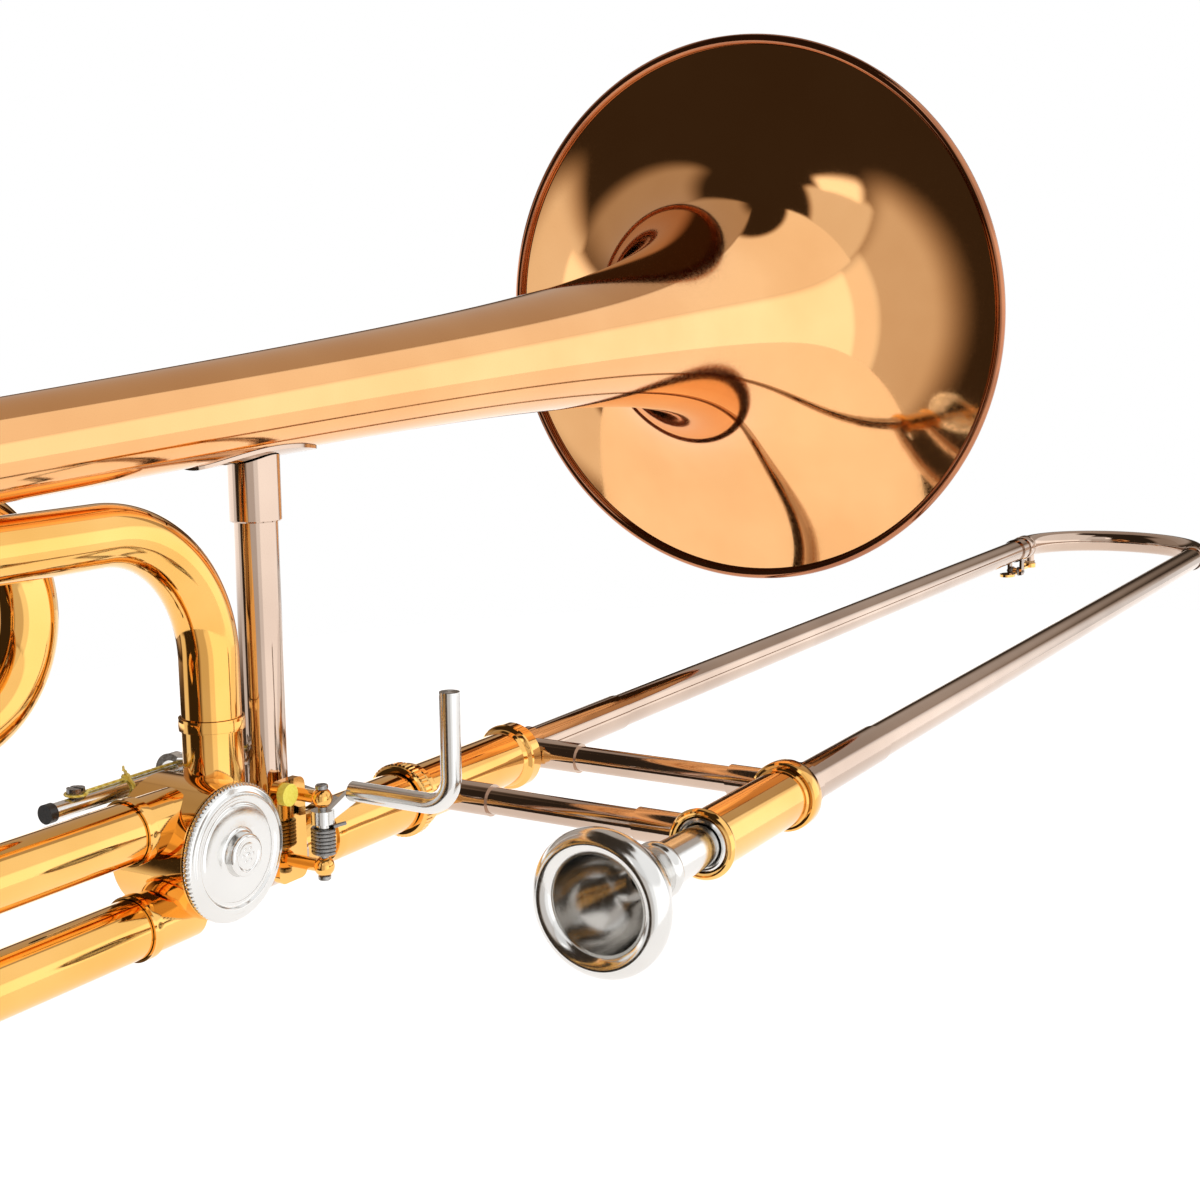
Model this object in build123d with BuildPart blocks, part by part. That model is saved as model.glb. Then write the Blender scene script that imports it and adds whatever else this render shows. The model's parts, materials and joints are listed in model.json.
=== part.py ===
"""Tenor trombone with a rotary valve and F tubing.

Frame: millimetres, +Z up, +Y forward (the way the bell and the slide point),
+X towards the mouthpiece side.  The origin lies on the axis of the bell-side
slide tube, straight below the bell brace, where the left hand holds the horn.
"""
import math
import os

from build123d import *

os.makedirs("parts", exist_ok=True)

# ---------------------------------------------------------------- dimensions
# bell
BELL_RIM_RADIUS = 108.0
BELL_RIM_Y = 295.8
BELL_RIM_Z = 142.2
BELL_TILT = 4.0
BELL_LENGTH = 404.0
BELL_WALL = 0.8
BELL_SHEET_START = 0.5
BELL_SEAM = 80.0
BELL_FLARE_POWER = 0.6
BELL_FLARE_OFFSET = 9.42
RIM_BEAD = 1.9

# slide
SLIDE_SPACING = 99.6
OUTER_TUBE_RADIUS = 6.0
OUTER_TUBE_BORE = 5.65
STOCKING_RADIUS = 5.6
INNER_TUBE_RADIUS = 5.35
INNER_TUBE_BORE = 4.9
OUTER_TUBE_START = 106.0
SLEEVE_END = 190.0
STOCKING_START = 585.0
INNER_TUBE_END = 686.0
BOW_START = 692.0
BARREL_RADIUS = 8.75
BARREL_BORE = 7.9
FLANGE_RADIUS = 10.8
BARREL_END = 122.2
INNER_BRACE_Y = 72.3
HAND_BRACE_Y = 127.4

# valve
VALVE_Y = -28.0
VALVE_Z = 10.0
CASING_RADIUS = 17.8
CASING_BORE = 14.75
CASING_HALF = 12.0
ROTOR_RADIUS = 14.7
ROTOR_HALF = 9.0
SPINDLE_RADIUS = 3.0
PASSAGE_RADIUS = 5.2
PORT_ANGLES = (-30.0, 60.0, 150.0, 240.0)

# tubing
TUBE_RADIUS = 7.75
TUBE_BORE = 6.9
RUN_CLEARANCE = 0.05
UPPER_REAR_Z = 19.5
LOWER_REAR_Z = -5.2
RISER_Y = -20.0
F_TOP_Z = 93.5
F_BEND_RADIUS = 36.0
F_FAR_X = -24.0
F_FAR_TOP_Z = 101.0
F_FAR_LOW_Z = 47.0
F_FRONT_BOW_Y = -84.5
F_REAR_CROOK_Y = -210.0
F_SLIDE_END = -218.0
F_LEG_START = -160.0
MAIN_SLEEVE_START = -112.0
MAIN_SLEEVE_END = -236.0
MAIN_SLEEVE_RADIUS = 9.2
MAIN_LEG_RADIUS = 8.45
MAIN_LEG_BORE = 7.8
MAIN_LEG_START = -152.0

# thumb lever and string linkage
HINGE_X = 18.0
HINGE_Y = 1.2
LEVER_TRAVEL = 26.0
STRING_BAR_X = -18.5
PIN_Y = 9.2
BAR_RADIUS = 2.2
HUB_RADIUS = (HINGE_X - STRING_BAR_X) * LEVER_TRAVEL / 90.0
BAR_Z = VALVE_Z + HUB_RADIUS + 1.1 + BAR_RADIUS
LEVER_ROD_RADIUS = 2.7

# bell brace
BRACE_RADIUS = 5.83
BRACE_SOCKET_RADIUS = 6.9

# mouthpiece
RIM_FRONT_Y = 4.0
CUP_RIM_RADIUS = 19.45
SHANK_START = 36.0
SHANK_END = 83.0
SHANK_START_RADIUS = 6.4
SHANK_END_RADIUS = 5.3
SHANK_CLEARANCE = 0.03

# half length of the tube-shaped cut at each end of a brace
STRUT_CUT_REACH = 60.0

tilt = math.radians(BELL_TILT)
rear_along_bell = Vector(0, -math.cos(tilt), -math.sin(tilt))
bell_plane = Plane(origin=(0, BELL_RIM_Y, BELL_RIM_Z), x_dir=rear_along_bell, z_dir=(-1, 0, 0))
bell_axis = Axis((0, BELL_RIM_Y, BELL_RIM_Z), rear_along_bell)
valve_centre = Vector(0, VALVE_Y, VALVE_Z)


def slide_plane(x, z=0.0):
    """Plane whose local x runs forward along a tube's axis and local y is its radius."""
    return Plane(origin=(x, 0, z), x_dir=(0, 1, 0), z_dir=(1, 0, 0))


def turned(plane, outline, arc=360.0):
    """Solid of revolution: outline holds (distance along the axis, radius) corners."""
    with BuildPart() as piece:
        with BuildSketch(plane):
            with BuildLine():
                Polyline(*outline, close=True)
            make_face()
        revolve(axis=Axis(plane.origin, plane.x_dir), revolution_arc=arc)
    return piece.part


def rod(start, end, radius, bore=0.0):
    """Round bar or tube between two points."""
    base = Vector(start)
    run = Vector(end) - base
    with BuildPart() as piece:
        with BuildSketch(Plane(origin=base, z_dir=run)):
            Circle(radius)
            if bore:
                Circle(bore, mode=Mode.SUBTRACT)
        extrude(amount=run.length)
    return piece.part


def pipe(route, radius, bore=0.0):
    """Tube of constant section swept along a smooth route."""
    with BuildPart() as piece:
        with BuildSketch(Plane(origin=route @ 0, z_dir=route % 0)):
            Circle(radius)
            if bore:
                Circle(bore, mode=Mode.SUBTRACT)
        sweep(path=route)
    return piece.part


def half_bow_route(start, end, apex, start_leg=0.0, end_leg=0.0):
    """Half circle from start to end through apex, with straight legs running forward."""
    first = Vector(start)
    last = Vector(end)
    with BuildLine() as route:
        if start_leg:
            Line(first + Vector(0, start_leg, 0), first)
        ThreePointArc(first, Vector(apex), last)
        if end_leg:
            Line(last, last + Vector(0, end_leg, 0))
    return route.wire()


def rear_bow_route(y, first_xz, last_xz, first_leg=0.0, last_leg=0.0):
    """Half circle behind the plane Y = y that joins two fore-and-aft tubes."""
    mid_x = (first_xz[0] + last_xz[0]) / 2
    mid_z = (first_xz[1] + last_xz[1]) / 2
    radius = math.dist(first_xz, last_xz) / 2
    start = (first_xz[0], y, first_xz[1])
    end = (last_xz[0], y, last_xz[1])
    return half_bow_route(start, end, (mid_x, y - radius, mid_z), first_leg, last_leg)


def strut(start, end, radius, around=()):
    """Brace rod between two tubes; around lists (point, direction, radius) of the tubes it meets."""
    with BuildPart() as piece:
        add(rod(start, end, radius))
        for point, direction, tube_radius in around:
            reach = Vector(direction).normalized() * STRUT_CUT_REACH
            middle = Vector(point)
            add(rod(middle - reach, middle + reach, tube_radius), mode=Mode.SUBTRACT)
    return piece.part


def save(piece, name):
    """Label a finished piece and write it as its own STEP file."""
    piece.label = name
    export_step(piece, "parts/" + name + ".step")


# ---------------------------------------------------------------- bell
def flare_radius(distance):
    """Outside radius of the bell at a distance behind its rim."""
    scale = BELL_RIM_RADIUS * BELL_FLARE_OFFSET**BELL_FLARE_POWER
    return scale / (distance + BELL_FLARE_OFFSET) ** BELL_FLARE_POWER


def flare_wall(distance, depth):
    """Point on the bell's wall: depth 0 is the outside, BELL_WALL the inside."""
    radius = flare_radius(distance)
    slope = -BELL_FLARE_POWER * radius / (distance + BELL_FLARE_OFFSET)
    length = math.hypot(1.0, slope)
    return (distance + depth * slope / length, radius - depth / length)


def bell_sheet(front, rear, steps):
    """Bell wall between two distances behind the rim."""
    stations = [front * (rear / front) ** (step / steps) for step in range(steps + 1)]
    with BuildPart() as sheet:
        with BuildSketch(bell_plane):
            with BuildLine():
                outside = Spline(*[flare_wall(s, 0.0) for s in stations])
                inside = Spline(*[flare_wall(s, BELL_WALL) for s in stations])
                Line(outside @ 0, inside @ 0)
                Line(outside @ 1, inside @ 1)
            make_face()
        revolve(axis=bell_axis)
    return sheet.part


bell_flare = bell_sheet(BELL_SHEET_START, BELL_SEAM, 20)
save(bell_flare, "bell_flare")
save(bell_sheet(BELL_SEAM, BELL_LENGTH, 14), "bell_stem")

rim_major = BELL_RIM_RADIUS - RIM_BEAD
with BuildPart() as bell_rim:
    with BuildSketch(bell_plane):
        with Locations((0.9, rim_major)):
            Circle(RIM_BEAD)
    revolve(axis=bell_axis)
    add(bell_flare, mode=Mode.SUBTRACT)
save(bell_rim.part, "bell_rim")

tail_radius = flare_radius(BELL_LENGTH)
ferrule_outline = [
    (BELL_LENGTH - 9, tail_radius + 0.42),
    (BELL_LENGTH - 8, tail_radius + 1.1),
    (BELL_LENGTH + 1, tail_radius + 1.1),
    (BELL_LENGTH + 9, MAIN_SLEEVE_RADIUS + 1.0),
    (BELL_LENGTH + 10, MAIN_SLEEVE_RADIUS + 0.3),
    (BELL_LENGTH + 0.3, MAIN_SLEEVE_RADIUS + 0.3),
    (BELL_LENGTH + 0.3, tail_radius + 0.1),
    (BELL_LENGTH, tail_radius + 0.1),
]
bell_tail_ferrule = turned(bell_plane, ferrule_outline)

# the bell's axis turns level through a short bend and becomes the upper tuning sleeve
tail_point = bell_plane.origin + rear_along_bell * (BELL_LENGTH + 0.5)
bend_radius = 300.0
bend_end = tail_point + Vector(0, -bend_radius * math.sin(tilt), -bend_radius * (1 - math.cos(tilt)))
upper_main_z = bend_end.Z
with BuildLine() as upper_main_route:
    TangentArc(tail_point, bend_end, tangent=rear_along_bell)
    Line(bend_end, (0, MAIN_SLEEVE_END, upper_main_z))
upper_sleeve = pipe(upper_main_route.wire(), MAIN_SLEEVE_RADIUS, MAIN_LEG_RADIUS + RUN_CLEARANCE)

# leaf plate that spreads the brace's load under the bell
brace_distance = BELL_RIM_Y / math.cos(tilt)
leaf_half_length = 24.0
leaf_half_width = 8.5
leaf_gap = 0.08
leaf_thickness = 0.9
leaf_stations = [brace_distance + leaf_half_length * step / 3 for step in range(-3, 4)]
with BuildPart() as bell_leaf:
    with BuildSketch(bell_plane):
        with BuildLine():
            leaf_inside = Spline(*[(s, flare_radius(s) + leaf_gap) for s in leaf_stations])
            leaf_outside = Spline(*[(s, flare_radius(s) + leaf_thickness) for s in leaf_stations])
            Line(leaf_inside @ 0, leaf_outside @ 0)
            Line(leaf_inside @ 1, leaf_outside @ 1)
        make_face()
    revolve(axis=bell_axis)
    with BuildSketch(Plane.XY.offset(100)):
        Ellipse(leaf_half_width, leaf_half_length)
    extrude(amount=15, mode=Mode.INTERSECT)
save(bell_leaf.part, "bell_leaf_plate")

# ---------------------------------------------------------------- bell brace
brace_foot_z = TUBE_RADIUS + 0.1
brace_top_z = 91.0
bell_over_brace = bell_plane.origin + rear_along_bell * brace_distance
brace_cut_radius = flare_radius(brace_distance) + leaf_thickness + 0.25
with BuildPart() as bell_brace:
    add(rod((0, 0, brace_foot_z + 6), (0, 0, brace_top_z), BRACE_RADIUS, BRACE_RADIUS - 0.8))
    add(rod((0, 0, brace_foot_z - 4), (0, 0, brace_foot_z + 6), BRACE_RADIUS + 0.9))
    add(rod((0, -20, 0), (0, 20, 0), TUBE_RADIUS + 0.95), mode=Mode.SUBTRACT)
save(bell_brace.part, "bell_brace")

with BuildPart() as bell_brace_socket:
    add(rod((0, 0, brace_top_z + 0.1), (0, 0, 114), BRACE_SOCKET_RADIUS))
    below = bell_over_brace - rear_along_bell * 30
    beyond = bell_over_brace + rear_along_bell * 30
    add(rod(below, beyond, brace_cut_radius), mode=Mode.SUBTRACT)
saddle_half = 6.5
with BuildPart() as brace_fittings:
    add(bell_brace_socket.part.solids().sort_by(Axis.Z)[0])
    add(rod((0, -saddle_half, 0), (0, saddle_half, 0), TUBE_RADIUS + 0.9, TUBE_RADIUS + 0.05))
save(brace_fittings.part, "bell_brace_fittings")

# ---------------------------------------------------------------- neckpipe and receiver
neck_plane = slide_plane(0)
casing_cut = rod((-20, VALVE_Y, VALVE_Z), (20, VALVE_Y, VALVE_Z), CASING_RADIUS + 0.05)

with BuildPart() as neckpipe:
    add(rod((0, -8.5, 0), (0, 27, 0), TUBE_RADIUS, TUBE_BORE))
save(neckpipe.part, "neckpipe")

receiver_outline = [
    (20, TUBE_RADIUS + 0.04),
    (20, TUBE_RADIUS + 0.6),
    (22, TUBE_RADIUS + 1.1),
    (57, TUBE_RADIUS + 1.25),
    (57, 7.44),
    (27.4, 7.44),
    (27.4, TUBE_RADIUS + 0.04),
]
save(turned(neck_plane, receiver_outline), "slide_receiver")
save(rod((0, 28, 0), (0, 62.9, 0), 7.4, 5.0), "slide_tenon")

nut_grooves = 24
with BuildPart() as lock_nut:
    with BuildSketch(Plane.XZ.offset(-57.5)):
        Circle(11.4)
        Circle(7.46, mode=Mode.SUBTRACT)
        with PolarLocations(11.6, nut_grooves):
            Circle(0.6, mode=Mode.SUBTRACT)
    extrude(amount=-4.9)
save(lock_nut.part, "bell_lock_nut")

# ---------------------------------------------------------------- valve
with BuildPart() as valve_casing:
    add(rod((-CASING_HALF, VALVE_Y, VALVE_Z), (CASING_HALF, VALVE_Y, VALVE_Z), CASING_RADIUS, CASING_BORE))
    for angle in PORT_ANGLES:
        outward = Vector(0, math.cos(math.radians(angle)), math.sin(math.radians(angle)))
        add(rod(valve_centre, valve_centre + outward * 30, PASSAGE_RADIUS), mode=Mode.SUBTRACT)
save(valve_casing.part, "valve_casing")

knuckle_radius = TUBE_RADIUS + 0.75
knuckle_runs = (
    ((0, VALVE_Y + 8, 0), (0, -8.6, 0)),
    ((0, RISER_Y, VALVE_Z + 10), (0, RISER_Y, 42.5)),
    ((0, VALVE_Y - 8, UPPER_REAR_Z), (0, -52, UPPER_REAR_Z)),
    ((0, VALVE_Y - 5, LOWER_REAR_Z), (0, -52, LOWER_REAR_Z)),
)
with BuildPart() as valve_knuckles:
    for inner_end, outer_end in knuckle_runs:
        add(rod(inner_end, outer_end, TUBE_RADIUS + 0.05, TUBE_BORE))
    for inner_end, outer_end in knuckle_runs[1:]:
        collar_start = Vector(outer_end) + (Vector(inner_end) - Vector(outer_end)).normalized() * 3.2
        add(rod(collar_start, outer_end, knuckle_radius, TUBE_BORE))
    add(casing_cut, mode=Mode.SUBTRACT)
save(valve_knuckles.part, "valve_knuckles")

with BuildPart() as bearing_plates:
    for side in (-1, 1):
        plate_near_rotor = (side * (ROTOR_HALF + 0.3), VALVE_Y, VALVE_Z)
        plate_outside = (side * CASING_HALF, VALVE_Y, VALVE_Z)
        add(rod(plate_near_rotor, plate_outside, CASING_BORE - 0.03, SPINDLE_RADIUS + RUN_CLEARANCE))
save(bearing_plates.part, "bearing_plates")

cap_plane = Plane(origin=(0, VALVE_Y, VALVE_Z), x_dir=(1, 0, 0), z_dir=(0, 1, 0))
cap_outline = [
    (12.15, 0),
    (12.15, 17.7),
    (13.6, 17.9),
    (14.4, 17.3),
    (14.4, 15.8),
    (14.9, 15.4),
    (14.9, 14.2),
    (14.3, 13.6),
    (14.3, 12.6),
    (14.7, 12.2),
    (14.7, 6.4),
    (15.0, 5.6),
    (17.2, 5.5),
    (17.9, 4.6),
    (17.6, 3.0),
    (17.6, 0),
]
save(turned(cap_plane, cap_outline), "valve_cap")

passage_turn = ROTOR_RADIUS
passage_centre = ROTOR_RADIUS * math.sqrt(2)
spindle_front = CASING_HALF - 0.1
with BuildPart() as rotor:
    add(rod((-ROTOR_HALF, VALVE_Y, VALVE_Z), (ROTOR_HALF, VALVE_Y, VALVE_Z), ROTOR_RADIUS))
    for angle in (PORT_ANGLES[0] - 45.0, PORT_ANGLES[1] + 45.0):
        turn = Vector(0, math.cos(math.radians(angle)), math.sin(math.radians(angle)))
        with Locations(Plane(origin=valve_centre + turn * passage_centre, z_dir=(1, 0, 0))):
            Torus(passage_turn, PASSAGE_RADIUS, mode=Mode.SUBTRACT)
    add(rod((ROTOR_HALF - 1, VALVE_Y, VALVE_Z), (spindle_front, VALVE_Y, VALVE_Z), SPINDLE_RADIUS))
    add(rod((-15.9, VALVE_Y, VALVE_Z), (1 - ROTOR_HALF, VALVE_Y, VALVE_Z), SPINDLE_RADIUS))
save(rotor.part, "valve_rotor")

hub_near = -16.1
hub_far = -21.0
stop_arm_end = 13.6
with BuildPart() as rotor_hub:
    add(rod((hub_far, VALVE_Y, VALVE_Z), (hub_near, VALVE_Y, VALVE_Z), HUB_RADIUS))
    add(rod((hub_near - 0.5, VALVE_Y, VALVE_Z), (-13.4, VALVE_Y, VALVE_Z), 5.2, SPINDLE_RADIUS + 0.05))
    arm_turn = Vector(0, math.cos(math.radians(-45)), math.sin(math.radians(-45)))
    arm_mid_x = -14.6
    hub_middle = Vector(arm_mid_x, VALVE_Y, VALVE_Z)
    add(rod(hub_middle + arm_turn * 4.5, hub_middle + arm_turn * stop_arm_end, 1.15))
save(rotor_hub.part, "rotor_hub")

with BuildPart() as hub_screw:
    add(rod((hub_far - 0.05, VALVE_Y, VALVE_Z), (hub_far - 1.6, VALVE_Y, VALVE_Z), 3.4))
    with BuildSketch(Plane(origin=(hub_far - 1.6, VALVE_Y, VALVE_Z), z_dir=(-1, 0, 0))):
        Rectangle(7.0, 0.8)
    extrude(amount=-0.7, mode=Mode.SUBTRACT)
save(hub_screw.part, "hub_screw")

# cork buffers that end the rotor's quarter turn
stop_clear_angle = 14.5
with BuildPart() as stop_corks:
    for angle in (-45 - stop_clear_angle, 45 + stop_clear_angle):
        outward = Vector(0, math.cos(math.radians(angle)), math.sin(math.radians(angle)))
        base = Vector(-CASING_HALF - 0.05, VALVE_Y, VALVE_Z) + outward * 12.2
        add(rod(base, base + Vector(-3.6, 0, 0), 1.7))
save(stop_corks.part, "stop_corks")

# ---------------------------------------------------------------- main tuning tubing
with BuildPart() as gooseneck:
    add(rod((0, -52.1, LOWER_REAR_Z), (0, MAIN_SLEEVE_START, LOWER_REAR_Z), TUBE_RADIUS, TUBE_BORE))
save(gooseneck.part, "gooseneck")

lower_sleeve_start = (0, MAIN_SLEEVE_START - 0.1, LOWER_REAR_Z)
lower_sleeve_end = (0, MAIN_SLEEVE_END, LOWER_REAR_Z)
with BuildPart() as tuning_sleeves:
    add(upper_sleeve)
    add(rod(lower_sleeve_start, lower_sleeve_end, MAIN_SLEEVE_RADIUS, MAIN_LEG_RADIUS + RUN_CLEARANCE))
save(tuning_sleeves.part, "main_tuning_sleeves")

lower_plane = slide_plane(0, LOWER_REAR_Z)
reducer_outline = [
    (MAIN_SLEEVE_START + 6, TUBE_RADIUS + 0.05),
    (MAIN_SLEEVE_START + 6, TUBE_RADIUS + 0.7),
    (MAIN_SLEEVE_START - 2, MAIN_SLEEVE_RADIUS + 0.9),
    (MAIN_SLEEVE_START - 5, MAIN_SLEEVE_RADIUS + 0.9),
    (MAIN_SLEEVE_START - 5, MAIN_SLEEVE_RADIUS + 0.05),
    (MAIN_SLEEVE_START, MAIN_SLEEVE_RADIUS + 0.05),
    (MAIN_SLEEVE_START, TUBE_RADIUS + 0.05),
]
with BuildPart() as tuning_sleeve_ferrules:
    add(bell_tail_ferrule)
    add(turned(lower_plane, reducer_outline))
save(tuning_sleeve_ferrules.part, "tuning_sleeve_ferrules")

main_bow_y = MAIN_SLEEVE_END - 4
main_route = rear_bow_route(main_bow_y, (0, upper_main_z), (0, LOWER_REAR_Z))
save(pipe(main_route, MAIN_LEG_RADIUS + 0.35, MAIN_LEG_BORE), "main_tuning_bow")

with BuildPart() as main_legs:
    for leg_z in (upper_main_z, LOWER_REAR_Z):
        add(rod((0, MAIN_LEG_START, leg_z), (0, main_bow_y + 0.05, leg_z), MAIN_LEG_RADIUS, MAIN_LEG_BORE))
save(main_legs.part, "main_tuning_legs")

with BuildPart() as main_ferrules:
    for leg_z in (upper_main_z, LOWER_REAR_Z):
        ferrule_plane = slide_plane(0, leg_z)
        ring_outline = [
            (MAIN_SLEEVE_END - 0.4, MAIN_LEG_RADIUS + 0.4),
            (MAIN_SLEEVE_END - 0.4, MAIN_SLEEVE_RADIUS + 0.7),
            (main_bow_y - 0.3, MAIN_SLEEVE_RADIUS + 0.7),
            (main_bow_y - 1.6, MAIN_LEG_RADIUS + 0.9),
            (main_bow_y - 1.6, MAIN_LEG_RADIUS + 0.7),
            (main_bow_y + 0.2, MAIN_LEG_RADIUS + 0.7),
            (main_bow_y + 0.2, MAIN_LEG_RADIUS + 0.05),
            (MAIN_SLEEVE_END - 0.6, MAIN_LEG_RADIUS + 0.05),
        ]
        add(turned(ferrule_plane, ring_outline))
save(main_ferrules.part, "main_tuning_ferrules")

# ---------------------------------------------------------------- F tubing
riser_foot = Vector(0, RISER_Y, 42.6)
riser_top = Vector(0, RISER_Y, F_TOP_Z - F_BEND_RADIUS)
bend_back = Vector(0, RISER_Y - F_BEND_RADIUS, F_TOP_Z)
with BuildLine() as f_riser_route:
    Line(riser_foot, riser_top)
    TangentArc(riser_top, bend_back, tangent=(0, 0, 1))
    Line(bend_back, (0, F_REAR_CROOK_Y + 0.1, F_TOP_Z))
save(pipe(f_riser_route.wire(), TUBE_RADIUS, TUBE_BORE), "f_riser_tube")

crook_route = rear_bow_route(F_REAR_CROOK_Y, (0, F_TOP_Z), (F_FAR_X, F_FAR_TOP_Z))
save(pipe(crook_route, TUBE_RADIUS, TUBE_BORE), "f_rear_crook")

front_bow_radius = (F_FAR_TOP_Z - F_FAR_LOW_Z) / 2
front_mid_z = (F_FAR_TOP_Z + F_FAR_LOW_Z) / 2
with BuildLine() as f_front_route:
    Line((F_FAR_X, F_REAR_CROOK_Y + 0.1, F_FAR_TOP_Z), (F_FAR_X, F_FRONT_BOW_Y, F_FAR_TOP_Z))
    ThreePointArc(
        (F_FAR_X, F_FRONT_BOW_Y, F_FAR_TOP_Z),
        (F_FAR_X, F_FRONT_BOW_Y + front_bow_radius, front_mid_z),
        (F_FAR_X, F_FRONT_BOW_Y, F_FAR_LOW_Z),
    )
    Line((F_FAR_X, F_FRONT_BOW_Y, F_FAR_LOW_Z), (F_FAR_X, -120, F_FAR_LOW_Z))
save(pipe(f_front_route.wire(), TUBE_RADIUS, TUBE_BORE), "f_front_bow")

with BuildPart() as f_lower_tube:
    add(rod((0, -52.1, UPPER_REAR_Z), (0, -120, UPPER_REAR_Z), TUBE_RADIUS, TUBE_BORE))
save(f_lower_tube.part, "f_lower_tube")

f_leg_radius = TUBE_RADIUS - 0.35
f_sleeve_radius = TUBE_RADIUS + 0.35
f_legs_xz = ((F_FAR_X, F_FAR_LOW_Z), (0, UPPER_REAR_Z))
with BuildPart() as f_sleeves:
    for leg_x, leg_z in f_legs_xz:
        add(rod((leg_x, -120.1, leg_z), (leg_x, F_SLIDE_END, leg_z), f_sleeve_radius, f_leg_radius + RUN_CLEARANCE))
        add(rod((leg_x, -117.5, leg_z), (leg_x, -120.1, leg_z), f_sleeve_radius + 0.6, TUBE_RADIUS + 0.03))
        add(rod((leg_x, -120.1, leg_z), (leg_x, -123, leg_z), f_sleeve_radius + 0.6, f_sleeve_radius))
save(f_sleeves.part, "f_tuning_sleeves")

f_bow_y = F_SLIDE_END - 4
f_slide_route = rear_bow_route(f_bow_y, f_legs_xz[0], f_legs_xz[1])
with BuildPart() as f_tuning_bow:
    add(pipe(f_slide_route, TUBE_RADIUS, TUBE_BORE - 0.2))
    for leg_x, leg_z in f_legs_xz:
        add(rod((leg_x, F_SLIDE_END - 0.4, leg_z), (leg_x, f_bow_y, leg_z), f_sleeve_radius + 0.4, TUBE_BORE - 0.2))
        add(rod((leg_x, F_LEG_START, leg_z), (leg_x, F_SLIDE_END - 0.4, leg_z), f_leg_radius, TUBE_BORE - 0.2))
save(f_tuning_bow.part, "f_tuning_bow")

# braces that tie the loops together
along_y = (0, 1, 0)
leg_a = ((0, -120, F_TOP_Z), along_y, TUBE_RADIUS + 0.03)
leg_b = ((F_FAR_X, -140, F_FAR_TOP_Z), along_y, TUBE_RADIUS + 0.03)
leg_c = ((F_FAR_X, -120, F_FAR_LOW_Z), along_y, f_sleeve_radius + 0.03)
leg_d = ((0, -110, UPPER_REAR_Z), along_y, TUBE_RADIUS + 0.03)
leg_d_sleeve = ((0, -140, UPPER_REAR_Z), along_y, f_sleeve_radius + 0.03)
leg_main_low = ((0, -90, LOWER_REAR_Z), along_y, TUBE_RADIUS + 0.03)
leg_main_top = ((0, -140, upper_main_z), along_y, MAIN_SLEEVE_RADIUS + 0.03)
loop_brace_radius = 2.6
with BuildPart() as loop_braces:
    add(strut((0, -102, LOWER_REAR_Z + 5), (0, -102, UPPER_REAR_Z - 5), loop_brace_radius, (leg_main_low, leg_d)))
    add(strut((0, -140, F_TOP_Z + 5), (0, -140, upper_main_z - 6), loop_brace_radius, (leg_a, leg_main_top)))
    add(strut((0, -165, F_TOP_Z), (F_FAR_X, -165, F_FAR_TOP_Z), loop_brace_radius, (leg_a, leg_b)))
    add(
        strut(
            (0, -140, UPPER_REAR_Z),
            (F_FAR_X, -140, F_FAR_LOW_Z),
            loop_brace_radius,
            (leg_d_sleeve, leg_c),
        )
    )
    add(
        strut(
            (F_FAR_X, -150, F_FAR_LOW_Z),
            (F_FAR_X, -150, F_FAR_TOP_Z),
            loop_brace_radius,
            (leg_c, leg_b),
        )
    )
save(loop_braces.part, "loop_braces")

# ---------------------------------------------------------------- thumb lever
plate_near = TUBE_RADIUS + 1.25
plate_far = plate_near + 2.2
post_z = (-1.2, 17.7)
with BuildPart() as lever_saddle:
    with BuildSketch(Plane.YZ.offset(plate_near)):
        with Locations((-3.3, 9.0)):
            RectangleRounded(11.4, 28.0, 2.5)
    extrude(amount=plate_far - plate_near)
    for height in post_z:
        add(rod((plate_far - 0.5, HINGE_Y, height), (HINGE_X, HINGE_Y, height), 1.8))
        with Locations((HINGE_X, HINGE_Y, height)):
            Sphere(2.8)
    add(rod((HINGE_X, HINGE_Y, -5), (HINGE_X, HINGE_Y, 25), 1.25), mode=Mode.SUBTRACT)
save(lever_saddle.part, "lever_saddle")

save(rod((HINGE_X, HINGE_Y, -4.6), (HINGE_X, HINGE_Y, 21.2), 1.2), "lever_hinge_rod")
save(rod((HINGE_X, HINGE_Y, 2.1), (HINGE_X, HINGE_Y, 10.3), 3.4, 2.2), "lever_spring")
save(rod((plate_far, -6.0, 19.6), (plate_far + 2.2, -6.0, 19.6), 3.0), "lever_bumper")

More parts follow.
